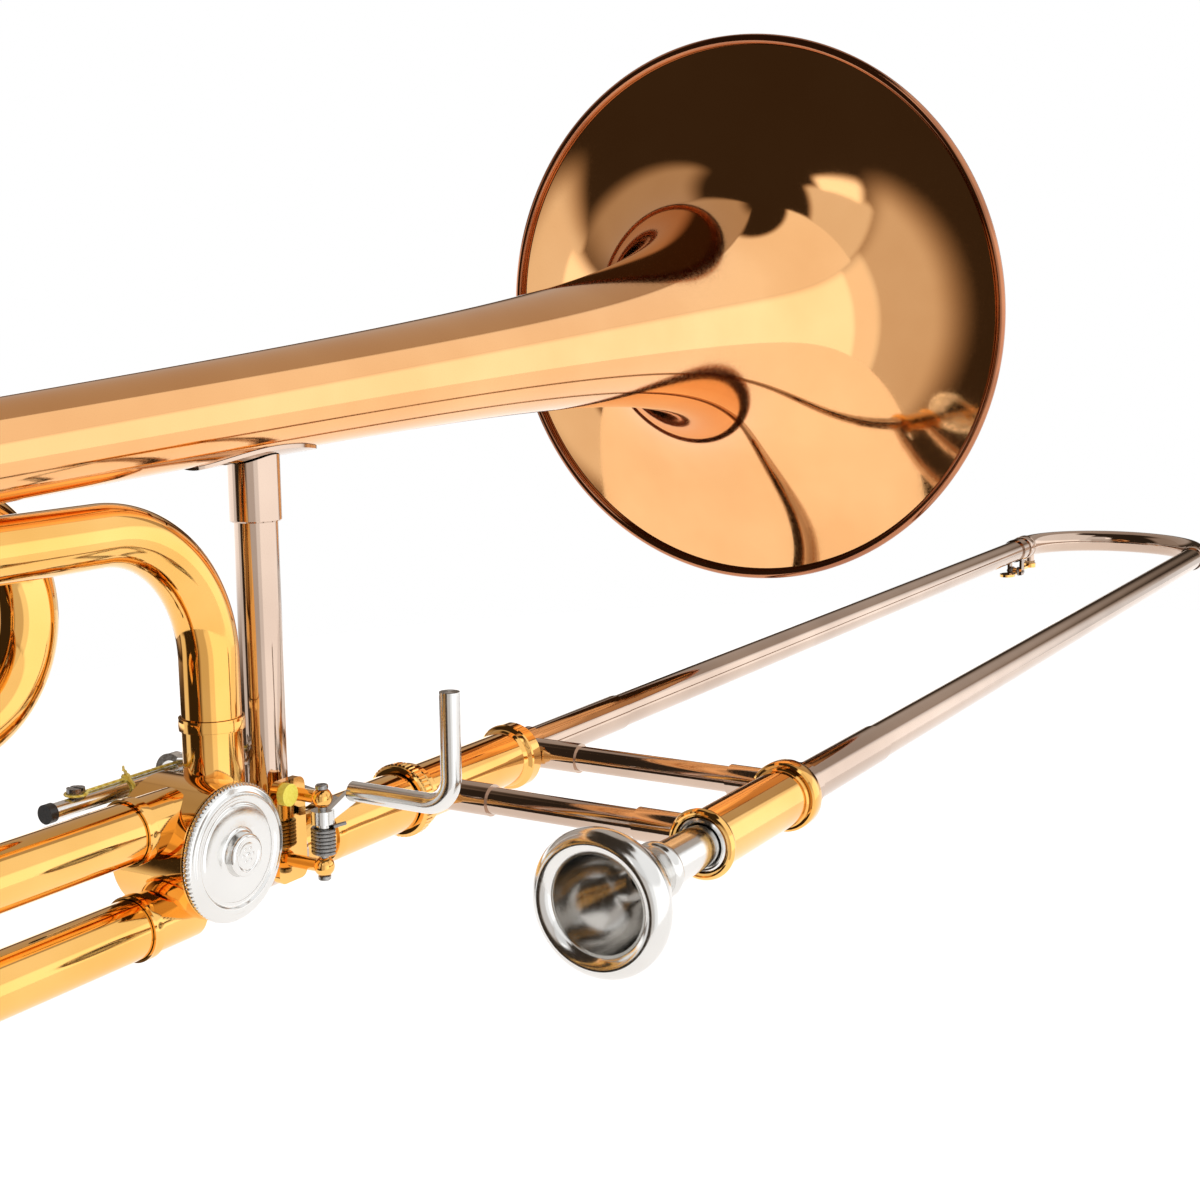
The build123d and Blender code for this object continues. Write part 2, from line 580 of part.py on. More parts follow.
arm_low = 11.0
arm_high = 13.4
rod_start = Vector(22.5, 8.5, 18.4)
rod_bend_start = Vector(47.0, 8.5, 18.4)
rod_bend_end = Vector(55.0, 8.5, 26.4)
rod_top = Vector(55.0, 8.5, 49.0)
lever_bends = ((12.0, 14.0), (-12.0, 22.0))
with BuildPart() as thumb_lever:
    add(rod((HINGE_X, HINGE_Y, 2.0), (HINGE_X, HINGE_Y, 14.4), 1.95, 1.25))
    add(rod((HINGE_X, HINGE_Y, 10.8), (HINGE_X, HINGE_Y, 14.4), 3.1, 1.25))
    with BuildSketch(Plane.XY.offset(arm_low)):
        with BuildLine():
            Polyline((HINGE_X - 2.4, HINGE_Y + 2.4), *lever_bends, (STRING_BAR_X, PIN_Y))
        trace(line_width=3.4)
        with Locations((STRING_BAR_X, PIN_Y)):
            Circle(2.4)
    extrude(amount=arm_high - arm_low)
    add(rod((STRING_BAR_X, PIN_Y, arm_low), (STRING_BAR_X, PIN_Y, 27.4), 1.1))
    with BuildLine() as thumb_route:
        Line(rod_start, rod_bend_start)
        TangentArc(rod_bend_start, rod_bend_end, tangent=(1, 0, 0))
        Line(rod_bend_end, rod_top)
    add(pipe(thumb_route.wire(), LEVER_ROD_RADIUS))
    with BuildSketch(Plane(origin=(HINGE_X, HINGE_Y, 0), x_dir=(0.52, 0.854, 0), z_dir=(0.854, -0.52, 0))):
        with BuildLine():
            Polyline((2.0, 11.2), (2.0, 14.4), (9.6, 20.6), (12.5, 18.4), (9.6, 15.8), close=True)
        make_face()
    extrude(amount=1.1, both=True)
save(thumb_lever.part, "thumb_lever")

# ---------------------------------------------------------------- string linkage
bar_rear = -58.0
bar_front = 4.0
block_front = 15.5
with BuildPart() as string_bar:
    add(rod((STRING_BAR_X, bar_rear, BAR_Z), (STRING_BAR_X, bar_front + 1, BAR_Z), BAR_RADIUS))
    with BuildSketch(Plane.XY.offset(BAR_Z - 2.3)):
        with Locations((STRING_BAR_X, (bar_front + block_front) / 2)):
            RectangleRounded(9.0, block_front - bar_front, 1.5)
        with Locations((STRING_BAR_X, PIN_Y)):
            SlotCenterToCenter(2.6, 3.4, mode=Mode.SUBTRACT)
    extrude(amount=4.6)
save(string_bar.part, "string_bar")
save(rod((STRING_BAR_X, bar_rear - 0.05, BAR_Z), (STRING_BAR_X, bar_rear - 2.4, BAR_Z), 2.5), "string_bar_plug")

with BuildPart() as string_screw:
    add(rod((STRING_BAR_X, -50, BAR_Z + BAR_RADIUS + 0.05), (STRING_BAR_X, -50, BAR_Z + 4.4), 2.3))
    with BuildSketch(Plane.XY.offset(BAR_Z + 4.4)):
        with Locations((STRING_BAR_X, -50)):
            Rectangle(5.0, 0.7)
    extrude(amount=-0.7, mode=Mode.SUBTRACT)
save(string_screw.part, "string_screw")

string_radius = 0.45
string_top_z = BAR_Z + BAR_RADIUS + string_radius + 0.05
string_low_z = BAR_Z - BAR_RADIUS - string_radius - 0.05
with BuildPart() as linkage_string:
    add(rod((STRING_BAR_X, -47.5, string_top_z), (STRING_BAR_X, 1.5, string_top_z), string_radius))
    for knot_y in (-33.0, 2.0):
        add(rod((STRING_BAR_X, knot_y - 0.5, BAR_Z), (STRING_BAR_X, knot_y + 0.5, BAR_Z), 3.2, BAR_RADIUS + 0.05))
    add(rod((STRING_BAR_X, -33, string_low_z), (STRING_BAR_X, 2, string_low_z), string_radius))
save(linkage_string.part, "linkage_string")

guide_y = -15.3
guide_half = 1.5
guide_bore = 3.7
guide_rear = (STRING_BAR_X, guide_y - guide_half, BAR_Z)
guide_front = (STRING_BAR_X, guide_y + guide_half, BAR_Z)
with BuildPart() as string_bar_guide:
    add(rod(guide_rear, guide_front, 5.6))
    add(rod((-16, guide_y, 28), (-5, -18, 30), 1.5))
    add(rod((STRING_BAR_X, guide_y - 5, BAR_Z), (STRING_BAR_X, guide_y + 5, BAR_Z), guide_bore), mode=Mode.SUBTRACT)
    add(rod((0, RISER_Y, 0), (0, RISER_Y, 60), TUBE_RADIUS + 0.1), mode=Mode.SUBTRACT)
save(string_bar_guide.part, "string_bar_guide")

# ---------------------------------------------------------------- inner slide
mouth_x = SLIDE_SPACING
bell_side_outline = [
    (63.0, INNER_TUBE_RADIUS + 0.04),
    (63.0, 10.2),
    (65.2, 10.2),
    (66.4, BARREL_RADIUS),
    (115.8, BARREL_RADIUS),
    (117.0, FLANGE_RADIUS - 0.3),
    (117.4, FLANGE_RADIUS),
    (BARREL_END - 0.4, FLANGE_RADIUS),
    (BARREL_END, FLANGE_RADIUS - 0.3),
    (BARREL_END, 7.4),
    (BARREL_END - 5, 7.4),
    (BARREL_END - 5.4, BARREL_BORE),
    (68.0, BARREL_BORE),
    (68.0, INNER_TUBE_RADIUS + 0.04),
]
save(turned(slide_plane(0), bell_side_outline), "cork_barrel_bell_side")

ring_seat = 8.0
mouth_side_outline = [
    (62.0, BARREL_BORE),
    (62.0, 10.2),
    (64.2, 10.2),
    (65.4, BARREL_RADIUS),
    (116.0, BARREL_RADIUS),
    (116.0, ring_seat),
    (BARREL_END, ring_seat),
    (BARREL_END, 7.4),
    (BARREL_END - 5, 7.4),
    (BARREL_END - 5.4, BARREL_BORE),
]
save(turned(slide_plane(mouth_x), mouth_side_outline), "cork_barrel_mouthpiece_side")

lock_ring_outline = [
    (116.2, ring_seat + RUN_CLEARANCE),
    (116.2, FLANGE_RADIUS - 0.8),
    (117.2, FLANGE_RADIUS),
    (BARREL_END - 0.9, FLANGE_RADIUS),
    (BARREL_END - 0.1, FLANGE_RADIUS - 0.6),
    (BARREL_END - 0.1, ring_seat + RUN_CLEARANCE),
]
save(turned(slide_plane(mouth_x), lock_ring_outline), "slide_lock_ring")


def shank_radius(distance):
    """Outside radius of the mouthpiece shank at a distance behind its rim front."""
    share = (distance - SHANK_START) / (SHANK_END - SHANK_START)
    return SHANK_START_RADIUS + share * (SHANK_END_RADIUS - SHANK_START_RADIUS)


receiver_front = 62.0
receiver_back = 87.6
mouth_receiver_outline = [
    (receiver_front, shank_radius(receiver_front - RIM_FRONT_Y) + SHANK_CLEARANCE),
    (receiver_front, BARREL_BORE - 0.03),
    (93.0, BARREL_BORE - 0.03),
    (93.0, INNER_TUBE_RADIUS + 0.04),
    (receiver_back + 0.2, INNER_TUBE_RADIUS + 0.04),
    (receiver_back, shank_radius(receiver_back - RIM_FRONT_Y) + SHANK_CLEARANCE),
]
save(turned(slide_plane(mouth_x), mouth_receiver_outline), "mouthpiece_receiver")

with BuildPart() as inner_tubes:
    for tube_x, tube_start in ((0.0, 63.2), (mouth_x, 88.2)):
        inner_tube_outline = [
            (tube_start, INNER_TUBE_BORE),
            (tube_start, INNER_TUBE_RADIUS),
            (STOCKING_START, INNER_TUBE_RADIUS),
            (STOCKING_START + 1, STOCKING_RADIUS),
            (INNER_TUBE_END - 1, STOCKING_RADIUS),
            (INNER_TUBE_END, STOCKING_RADIUS - 0.3),
            (INNER_TUBE_END, INNER_TUBE_BORE),
        ]
        add(turned(slide_plane(tube_x), inner_tube_outline))
save(inner_tubes.part, "inner_slide_tubes")

leadpipe_outline = [
    (88.4, 3.4),
    (88.4, INNER_TUBE_BORE - 0.03),
    (280.0, INNER_TUBE_BORE - 0.03),
    (280.0, INNER_TUBE_BORE - 0.25),
]
save(turned(slide_plane(mouth_x), leadpipe_outline), "leadpipe")

with BuildPart() as barrel_corks:
    for tube_x in (0.0, mouth_x):
        add(rod((tube_x, 97.5, 0), (tube_x, 105.6, 0), BARREL_BORE - 0.05, INNER_TUBE_RADIUS + 0.05))
save(barrel_corks.part, "barrel_corks")

brace_tube_radius = 4.1
brace_socket_radius = 4.9
socket_length = 16.0


def slide_brace(y, tube_gap, wrap_radius):
    """Cross brace between the two slide tubes, with a socket at each end."""
    with BuildPart() as brace:
        add(rod((tube_gap - 1.5, y, 0), (mouth_x - tube_gap + 1.5, y, 0), brace_tube_radius))
        for seat, inward in ((tube_gap, 1), (mouth_x - tube_gap, -1)):
            near = (seat - 1.5 * inward, y, 0)
            far = (seat + socket_length * inward, y, 0)
            add(rod(near, far, brace_socket_radius))
        for tube_x in (0.0, mouth_x):
            add(rod((tube_x, y - 12, 0), (tube_x, y + 12, 0), wrap_radius), mode=Mode.SUBTRACT)
    return brace.part


save(slide_brace(INNER_BRACE_Y, BARREL_RADIUS, BARREL_RADIUS + 0.04), "inner_slide_brace")

# ---------------------------------------------------------------- hand slide
with BuildPart() as outer_tubes:
    for tube_x in (0.0, mouth_x):
        add(rod((tube_x, OUTER_TUBE_START, 0), (tube_x, BOW_START, 0), OUTER_TUBE_RADIUS, OUTER_TUBE_BORE))
save(outer_tubes.part, "outer_slide_tubes")

sleeve_radius = OUTER_TUBE_RADIUS + 0.45
saddle_start = BARREL_END + 0.7
saddle_end = 2 * HAND_BRACE_Y - saddle_start
with BuildPart() as outer_sleeves:
    for tube_x in (0.0, mouth_x):
        add(rod((tube_x, saddle_start, 0), (tube_x, SLEEVE_END, 0), sleeve_radius, OUTER_TUBE_RADIUS + 0.02))
save(outer_sleeves.part, "outer_sleeves")

with BuildPart() as hand_brace:
    add(slide_brace(HAND_BRACE_Y, sleeve_radius, sleeve_radius + 0.5))
    for tube_x in (0.0, mouth_x):
        add(rod((tube_x, saddle_start, 0), (tube_x, saddle_end, 0), sleeve_radius + 0.9, sleeve_radius + 0.03))
save(hand_brace.part, "hand_brace")

bow_middle = Vector(mouth_x / 2, BOW_START + mouth_x / 2, 0)
bow_route = half_bow_route((0, BOW_START + 0.1, 0), (mouth_x, BOW_START + 0.1, 0), bow_middle)
bow_radius = OUTER_TUBE_RADIUS + 0.25
save(pipe(bow_route, bow_radius, OUTER_TUBE_BORE), "slide_bow")

with BuildPart() as bow_ferrules:
    for tube_x in (0.0, mouth_x):
        bow_ferrule_outline = [
            (BOW_START - 9, OUTER_TUBE_RADIUS + 0.03),
            (BOW_START - 9, OUTER_TUBE_RADIUS + 0.6),
            (BOW_START - 8, OUTER_TUBE_RADIUS + 0.9),
            (BOW_START, OUTER_TUBE_RADIUS + 0.9),
            (BOW_START, OUTER_TUBE_RADIUS + 0.03),
        ]
        add(turned(slide_plane(tube_x), bow_ferrule_outline))
save(bow_ferrules.part, "bow_ferrules")

# ---------------------------------------------------------------- water key
key_y = 674.0
key_z = -12.6
key_ear_x = 3.6
key_ear_top = -4.0
key_ear_bottom = key_z - 2.0
with BuildPart() as water_key_saddle:
    add(rod((0, key_y - 4, 0), (0, key_y + 4, 0), OUTER_TUBE_RADIUS + 0.8, OUTER_TUBE_RADIUS + 0.03))
    for ear_x in (-key_ear_x, key_ear_x):
        with Locations((ear_x, key_y, (key_ear_top + key_ear_bottom) / 2)):
            Box(1.4, 5.0, key_ear_top - key_ear_bottom)
    add(rod((0, key_y - 20, 0), (0, key_y + 20, 0), OUTER_TUBE_RADIUS + 0.03), mode=Mode.SUBTRACT)
    add(rod((-8, key_y, key_z), (8, key_y, key_z), 0.85), mode=Mode.SUBTRACT)
save(water_key_saddle.part, "water_key_saddle")

save(rod((-5.2, key_y, key_z), (5.2, key_y, key_z), 0.8), "water_key_pin")

nipple_y = 700.0
nipple_x = mouth_x / 2 - math.sqrt((mouth_x / 2) ** 2 - (nipple_y - BOW_START - 0.1) ** 2)
with BuildPart() as water_key_nipple:
    add(rod((nipple_x, nipple_y, -4), (nipple_x, nipple_y, -9.4), 2.6, 1.2))
    add(pipe(bow_route, bow_radius + 0.03), mode=Mode.SUBTRACT)
save(water_key_nipple.part, "water_key_nipple")

with BuildPart() as water_key:
    add(rod((-2.6, key_y, key_z), (2.6, key_y, key_z), 2.1, 0.85))
    add(rod((nipple_x, nipple_y, -10.9), (nipple_x, nipple_y, -13.4), 3.6))
    with BuildSketch(Plane.XY.offset(key_z - 0.7)):
        with BuildLine():
            Polyline((0, key_y + 1.6), (0, key_y + 14), (nipple_x, nipple_y))
        trace(line_width=2.6)
    extrude(amount=1.4)
    with BuildSketch(Plane.XY.offset(key_z - 0.9)):
        with BuildLine():
            Polyline((0, key_y - 1.6), (0, key_y - 12))
        trace(line_width=2.8)
        with Locations((0, key_y - 16)):
            Ellipse(4.2, 6.0)
    extrude(amount=1.4)
save(water_key.part, "water_key")
save(rod((nipple_x, nipple_y, -9.45), (nipple_x, nipple_y, -10.85), 3.1), "water_key_cork")

# ---------------------------------------------------------------- mouthpiece
mouth_plane = Plane(origin=(mouth_x, RIM_FRONT_Y, 0), x_dir=(0, 1, 0), z_dir=(1, 0, 0))
bowl_edge = (2.6, 12.9)
bowl_floor = (25.5, 3.4)
with BuildPart() as mouthpiece:
    with BuildSketch(mouth_plane):
        with BuildLine():
            ThreePointArc(bowl_edge, (0.0, 16.4), (3.7, CUP_RIM_RADIUS))
            Spline(
                (3.7, CUP_RIM_RADIUS),
                (7.2, 18.6),
                (9.0, 15.6),
                tangents=((1.0, 0.12), (0.5, -1.0)),
            )
            Spline(
                (9.0, 15.6),
                (16.0, 13.6),
                (23.5, 9.6),
                (31.0, 7.2),
                tangents=((1.0, -0.1), (1.0, -0.05)),
            )
            Polyline(
                (31.0, 7.2),
                (32.0, 7.9),
                (34.0, 7.9),
                (35.0, SHANK_START_RADIUS),
                (SHANK_START, SHANK_START_RADIUS),
                (SHANK_END, SHANK_END_RADIUS),
                (SHANK_END, 4.7),
                (31.5, 3.4),
                bowl_floor,
            )
            Spline(
                bowl_floor,
                (19.5, 7.2),
                (11.0, 11.4),
                bowl_edge,
                tangents=((-0.75, 1.0), (-1.0, 0.06)),
            )
        make_face()
    revolve(axis=Axis(mouth_plane.origin, mouth_plane.x_dir))
save(mouthpiece.part, "mouthpiece")
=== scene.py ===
import json
import math

import bmesh
import bpy
from mathutils import Matrix, Vector


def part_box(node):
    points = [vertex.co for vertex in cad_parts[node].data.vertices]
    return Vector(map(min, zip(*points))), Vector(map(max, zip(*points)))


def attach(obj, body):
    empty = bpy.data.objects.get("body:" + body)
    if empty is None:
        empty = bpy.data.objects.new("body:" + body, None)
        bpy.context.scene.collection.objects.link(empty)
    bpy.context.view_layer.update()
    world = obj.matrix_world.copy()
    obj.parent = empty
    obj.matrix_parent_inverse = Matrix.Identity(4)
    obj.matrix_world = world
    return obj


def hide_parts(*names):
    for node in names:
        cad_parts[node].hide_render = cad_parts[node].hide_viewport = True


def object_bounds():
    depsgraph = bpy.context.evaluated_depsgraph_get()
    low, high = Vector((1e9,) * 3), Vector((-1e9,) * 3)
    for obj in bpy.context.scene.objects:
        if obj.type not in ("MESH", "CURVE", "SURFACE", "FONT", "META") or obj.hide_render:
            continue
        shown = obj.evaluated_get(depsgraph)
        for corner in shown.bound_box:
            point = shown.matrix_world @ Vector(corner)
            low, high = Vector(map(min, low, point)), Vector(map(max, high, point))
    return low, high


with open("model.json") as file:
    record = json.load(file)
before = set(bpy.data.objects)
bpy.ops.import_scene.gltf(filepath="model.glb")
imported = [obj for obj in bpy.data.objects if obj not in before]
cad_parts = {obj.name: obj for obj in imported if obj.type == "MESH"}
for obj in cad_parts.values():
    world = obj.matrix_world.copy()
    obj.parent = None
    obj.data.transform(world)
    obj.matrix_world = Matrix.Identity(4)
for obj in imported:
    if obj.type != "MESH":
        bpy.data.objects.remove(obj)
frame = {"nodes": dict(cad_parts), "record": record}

# Shapes are in millimetres, and MM turns them into Blender's metres. The slide runs along y, away from the
# player, and z is up. The bell side of the slide is at x = 0 and the mouthpiece side at x = SPACING.
MM = 0.001
SPACING = 99.6
RIGHT = (1, 0, 0)
AHEAD = (0, 1, 0)
BACK = (0, -1, 0)
UP = (0, 0, 1)
DOWN = (0, 0, -1)
LEFT = (-1, 0, 0)
cad_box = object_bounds()
nodes = frame["nodes"]
bodies = frame["record"]["behaviour"]["bodies"]
owner = {node: body for body, members in bodies.items() for node in members}
slot_of = {entry["node"]: entry["material_slot"] for entry in frame["record"]["subparts"]}


# ---------------------------------------------------------------- materials
# noise scales are in cycles per metre, and bump distances in metres
NOISE_LOW = 0.3
NOISE_HIGH = 0.7


def new_material(name):
    """Node material with its principled shader."""
    material = bpy.data.materials.new(name)
    material.use_nodes = True
    shader = material.node_tree.nodes["Principled BSDF"]
    return material, material.node_tree, shader


def noise(tree, scale, detail=4.0, rough=0.55, stretch=(1, 1, 1)):
    """Noise in object space, optionally stretched."""
    coords = tree.nodes.new("ShaderNodeTexCoord")
    mapping = tree.nodes.new("ShaderNodeMapping")
    mapping.inputs["Scale"].default_value = stretch
    texture = tree.nodes.new("ShaderNodeTexNoise")
    texture.inputs["Scale"].default_value = scale
    texture.inputs["Detail"].default_value = detail
    texture.inputs["Roughness"].default_value = rough
    tree.links.new(coords.outputs["Object"], mapping.inputs["Vector"])
    tree.links.new(mapping.outputs["Vector"], texture.inputs["Vector"])
    return texture.outputs["Fac"]


def mapped(tree, source, low, high):
    """The middle of a noise's range spread over low to high."""
    node = tree.nodes.new("ShaderNodeMapRange")
    node.inputs["From Min"].default_value = NOISE_LOW
    node.inputs["From Max"].default_value = NOISE_HIGH
    node.inputs["To Min"].default_value = low
    node.inputs["To Max"].default_value = high
    tree.links.new(source, node.inputs["Value"])
    return node.outputs["Result"]


def two_tone(tree, source, first, second, low=0.35, high=0.65):
    """Blend from the first colour to the second as the source goes from low to high."""
    ramp = tree.nodes.new("ShaderNodeValToRGB")
    ramp.color_ramp.elements[0].position = low
    ramp.color_ramp.elements[0].color = (*first, 1)
    ramp.color_ramp.elements[1].position = high
    ramp.color_ramp.elements[1].color = (*second, 1)
    tree.links.new(source, ramp.inputs["Fac"])
    return ramp.outputs["Color"]


def bumped(tree, shader, source, distance, strength):
    """Bump on the shader's normal from a height."""
    bump = tree.nodes.new("ShaderNodeBump")
    bump.inputs["Strength"].default_value = strength
    bump.inputs["Distance"].default_value = distance
    tree.links.new(source, bump.inputs["Height"])
    tree.links.new(bump.outputs["Normal"], shader.inputs["Normal"])


def polished(name, deep, bright, smooth, dull, coat=0.0):
    """Polished or plated metal: slow colour drift, buffing haze, very shallow ripple, lacquer coat."""
    material, tree, shader = new_material(name)
    shader.inputs["Metallic"].default_value = 1.0
    drift = noise(tree, scale=22.0, detail=3.0, rough=0.5)
    tree.links.new(two_tone(tree, drift, deep, bright), shader.inputs["Base Color"])
    haze = noise(tree, scale=900.0, detail=5.0, rough=0.65)
    tree.links.new(mapped(tree, haze, smooth, dull), shader.inputs["Roughness"])
    ripple = noise(tree, scale=35.0, detail=2.0, rough=0.4)
    bumped(tree, shader, ripple, distance=0.00001, strength=0.6)
    if coat:
        shader.inputs["Coat Weight"].default_value = coat
        shader.inputs["Coat Roughness"].default_value = 0.03
        shader.inputs["Coat IOR"].default_value = 1.5
    return material


def turned_steel(name, colour, dull):
    """Bare metal with fine turning marks."""
    material, tree, shader = new_material(name)
    shader.inputs["Metallic"].default_value = 1.0
    grain = noise(tree, scale=2600.0, detail=6.0, rough=0.7, stretch=(1, 0.12, 1))
    dark = [0.7 * channel for channel in colour]
    tree.links.new(two_tone(tree, grain, dark, colour), shader.inputs["Base Color"])
    tree.links.new(mapped(tree, grain, dull * 0.6, dull * 1.4), shader.inputs["Roughness"])
    bumped(tree, shader, grain, distance=0.00003, strength=0.5)
    return material


def cork(name):
    """Cells of light and dark cork."""
    material, tree, shader = new_material(name)
    cells = tree.nodes.new("ShaderNodeTexVoronoi")
    cells.inputs["Scale"].default_value = 1400.0
    coords = tree.nodes.new("ShaderNodeTexCoord")
    tree.links.new(coords.outputs["Object"], cells.inputs["Vector"])
    depth = cells.outputs["Distance"]
    colour = two_tone(tree, depth, (0.20, 0.10, 0.045), (0.52, 0.32, 0.16), low=0.05, high=0.6)
    tree.links.new(colour, shader.inputs["Base Color"])
    shader.inputs["Roughness"].default_value = 0.85
    bumped(tree, shader, depth, distance=0.0002, strength=0.7)
    return material


def moulded(name, dark, light, dull):
    """Plastic or rubber with a fine grain."""
    material, tree, shader = new_material(name)
    grain = noise(tree, scale=1500.0, detail=4.0, rough=0.6)
    tree.links.new(two_tone(tree, grain, dark, light), shader.inputs["Base Color"])
    tree.links.new(mapped(tree, grain, dull * 0.8, dull * 1.2), shader.inputs["Roughness"])
    bumped(tree, shader, grain, distance=0.00004, strength=0.5)
    return material


def braid(name):
    """Yellow string with slanting bands."""
    material, tree, shader = new_material(name)
    coords = tree.nodes.new("ShaderNodeTexCoord")
    waves = tree.nodes.new("ShaderNodeTexWave")
    waves.wave_type = "BANDS"
    waves.bands_direction = "DIAGONAL"
    waves.inputs["Scale"].default_value = 260.0
    waves.inputs["Distortion"].default_value = 1.5
    tree.links.new(coords.outputs["Object"], waves.inputs["Vector"])
    bands = waves.outputs["Fac"]
    colour = two_tone(tree, bands, (0.80, 0.60, 0.06), (1.0, 0.86, 0.22), low=0.2, high=0.8)
    tree.links.new(colour, shader.inputs["Base Color"])
    shader.inputs["Roughness"].default_value = 0.75
    shader.inputs["Sheen Weight"].default_value = 0.4
    bumped(tree, shader, bands, distance=0.0001, strength=0.8)
    return material


# polished: two colours, lowest and highest roughness, coat; turned_steel and moulded: colours, roughness
LOOKS = {
    "gold_brass": polished("gold_brass", (0.84, 0.435, 0.175), (0.90, 0.49, 0.21), 0.03, 0.085, 0.15),
    "rim_brass": polished("rim_brass", (0.36, 0.13, 0.06), (0.50, 0.20, 0.09), 0.06, 0.14, 0.4),
    "yellow_brass": polished("yellow_brass", (0.85, 0.45, 0.11), (0.93, 0.54, 0.165), 0.03, 0.09, 0.15),
    "nickel_silver": polished("nickel_silver", (0.52, 0.39, 0.31), (0.62, 0.475, 0.38), 0.04, 0.10, 0.10),
    "chromed_tube": polished("chromed_tube", (0.62, 0.63, 0.66), (0.72, 0.73, 0.76), 0.03, 0.08),
    "silver": polished("silver", (0.68, 0.67, 0.65), (0.77, 0.765, 0.75), 0.11, 0.20),
    "steel": turned_steel("steel", (0.42, 0.41, 0.40), 0.28),
    "spring_steel": turned_steel("spring_steel", (0.30, 0.29, 0.28), 0.30),
    "bearing_bronze": turned_steel("bearing_bronze", (0.72, 0.48, 0.24), 0.22),
    "leadpipe_brass": polished("leadpipe_brass", (0.62, 0.40, 0.16), (0.74, 0.50, 0.24), 0.15, 0.30),
    "cork": cork("cork"),
    "bumper_yellow": moulded("bumper_yellow", (0.86, 0.72, 0.08), (0.94, 0.82, 0.15), 0.45),
    # near-black look; on the string bar's plug it is painted shade, a dark disc that stands for the shadowed
    # inside of the bar's open end
    "black_plastic": moulded("black_plastic", (0.010, 0.010, 0.011), (0.03, 0.03, 0.032), 0.38),
    "yellow_string": braid("yellow_string"),
}
for node_name, cad_piece in nodes.items():
    cad_piece.data.materials.clear()
    cad_piece.data.materials.append(LOOKS[slot_of[node_name]])


# ---------------------------------------------------------------- shapes
# edges over this many degrees stay sharp, unless a piece has its own limit
SHARP = 25.0
# points round a tube or a turned piece, and round the broad ones
ROUND_STEPS = 96
FINE_STEPS = 192
# a direction with a greater z than this is taken as upright
UPRIGHT = 0.9


def finish_mesh(name, verts, faces, look, body, replaced, sharp):
    """Make a smooth-shaded mesh with edges over sharp degrees kept, and tie it to its body."""
    mesh = bpy.data.meshes.new(name)
    mesh.from_pydata([Vector(v) * MM for v in verts], [], faces)
    shape = bmesh.new()
    shape.from_mesh(mesh)
    bmesh.ops.recalc_face_normals(shape, faces=shape.faces)
    limit = math.radians(sharp)
    for face in shape.faces:
        face.smooth = True
    for edge in shape.edges:
        if len(edge.link_faces) == 2 and edge.calc_face_angle(0.0) > limit:
            edge.smooth = False
    shape.to_mesh(mesh)
    shape.free()
    mesh.materials.append(LOOKS[look])
    piece = bpy.data.objects.new(name, mesh)
    bpy.context.scene.collection.objects.link(piece)
    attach(piece, body)
    if replaced:
        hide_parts(*replaced)


def joined(*parts):
    """One mesh from several (verts, faces) pairs."""
    verts = []
    faces = []
    for part_verts, part_faces in parts:
        base = len(verts)
        verts.extend(part_verts)
        faces.extend(tuple(base + index for index in face) for face in part_faces)
    return verts, faces


def make_piece(name, node, *parts, look=None, replaced=None, sharp=SHARP):
    """A piece on a CAD node's body. It has the node's look and stands for it, unless told otherwise."""
    replaced = (node,) if replaced is None else replaced
    finish_mesh(name, *joined(*parts), look or slot_of[node], owner[node], replaced, sharp)


def frame_of(direction):
    """The direction as a unit vector, and two unit vectors square to it."""
    ahead = Vector(direction).normalized()
    helper = Vector(UP) if abs(ahead.z) < UPRIGHT else Vector(RIGHT)
    side = ahead.cross(helper).normalized()
    return ahead, side, side.cross(ahead)


def ring_faces(first, second, steps):
    """Faces between two rings of points that start at the given indices."""
    faces = []
    for step in range(steps):
        beside = (step + 1) % steps
        faces.append((first + step, first + beside, second + beside, second + step))
    return faces


def lathe(origin, direction, outline, steps=ROUND_STEPS, wave=None):
    """Closed ring surface from (distance along, radius) corners.

    wave(distance, radius, turn) may change a radius.
    """
    ahead, side, up = frame_of(direction)
    base = Vector(origin)
    verts = []
    for distance, radius in outline:
        for step in range(steps):
            turn = 2 * math.pi * step / steps
            reach = wave(distance, radius, turn) if wave else radius
            verts.append(base + ahead * distance + (side * math.cos(turn) + up * math.sin(turn)) * reach)
    rings = len(outline)
    faces = []
    for ring in range(rings):
        faces += ring_faces(ring * steps, (ring + 1) % rings * steps, steps)
    return verts, faces


def capped_lathe(origin, direction, outline, steps, wave=None):
    """Solid turned shape whose outline starts and ends close to the axis, with a flat face at each end."""
    verts, faces = lathe(origin, direction, outline, steps, wave)
    faces = faces[:-steps]
    faces.append(tuple(range(steps)))
    faces.append(tuple(range(len(verts) - steps, len(verts))))
    return verts, faces


def along_y(x, z, outline):
    """Ring surface about a line along y; the outline's distances are y positions."""
    return lathe((x, 0, z), AHEAD, outline)


def sleeve(start, end, outside, inside, edge=0.12):
    """Outline of a tube with slightly cut edges, running from start to end."""
    inward = edge if end > start else -edge
    return [
        (start, inside),
        (start, outside - edge),
        (start + inward, outside),
        (end - inward, outside),
        (end, outside - edge),
        (end, inside),
    ]


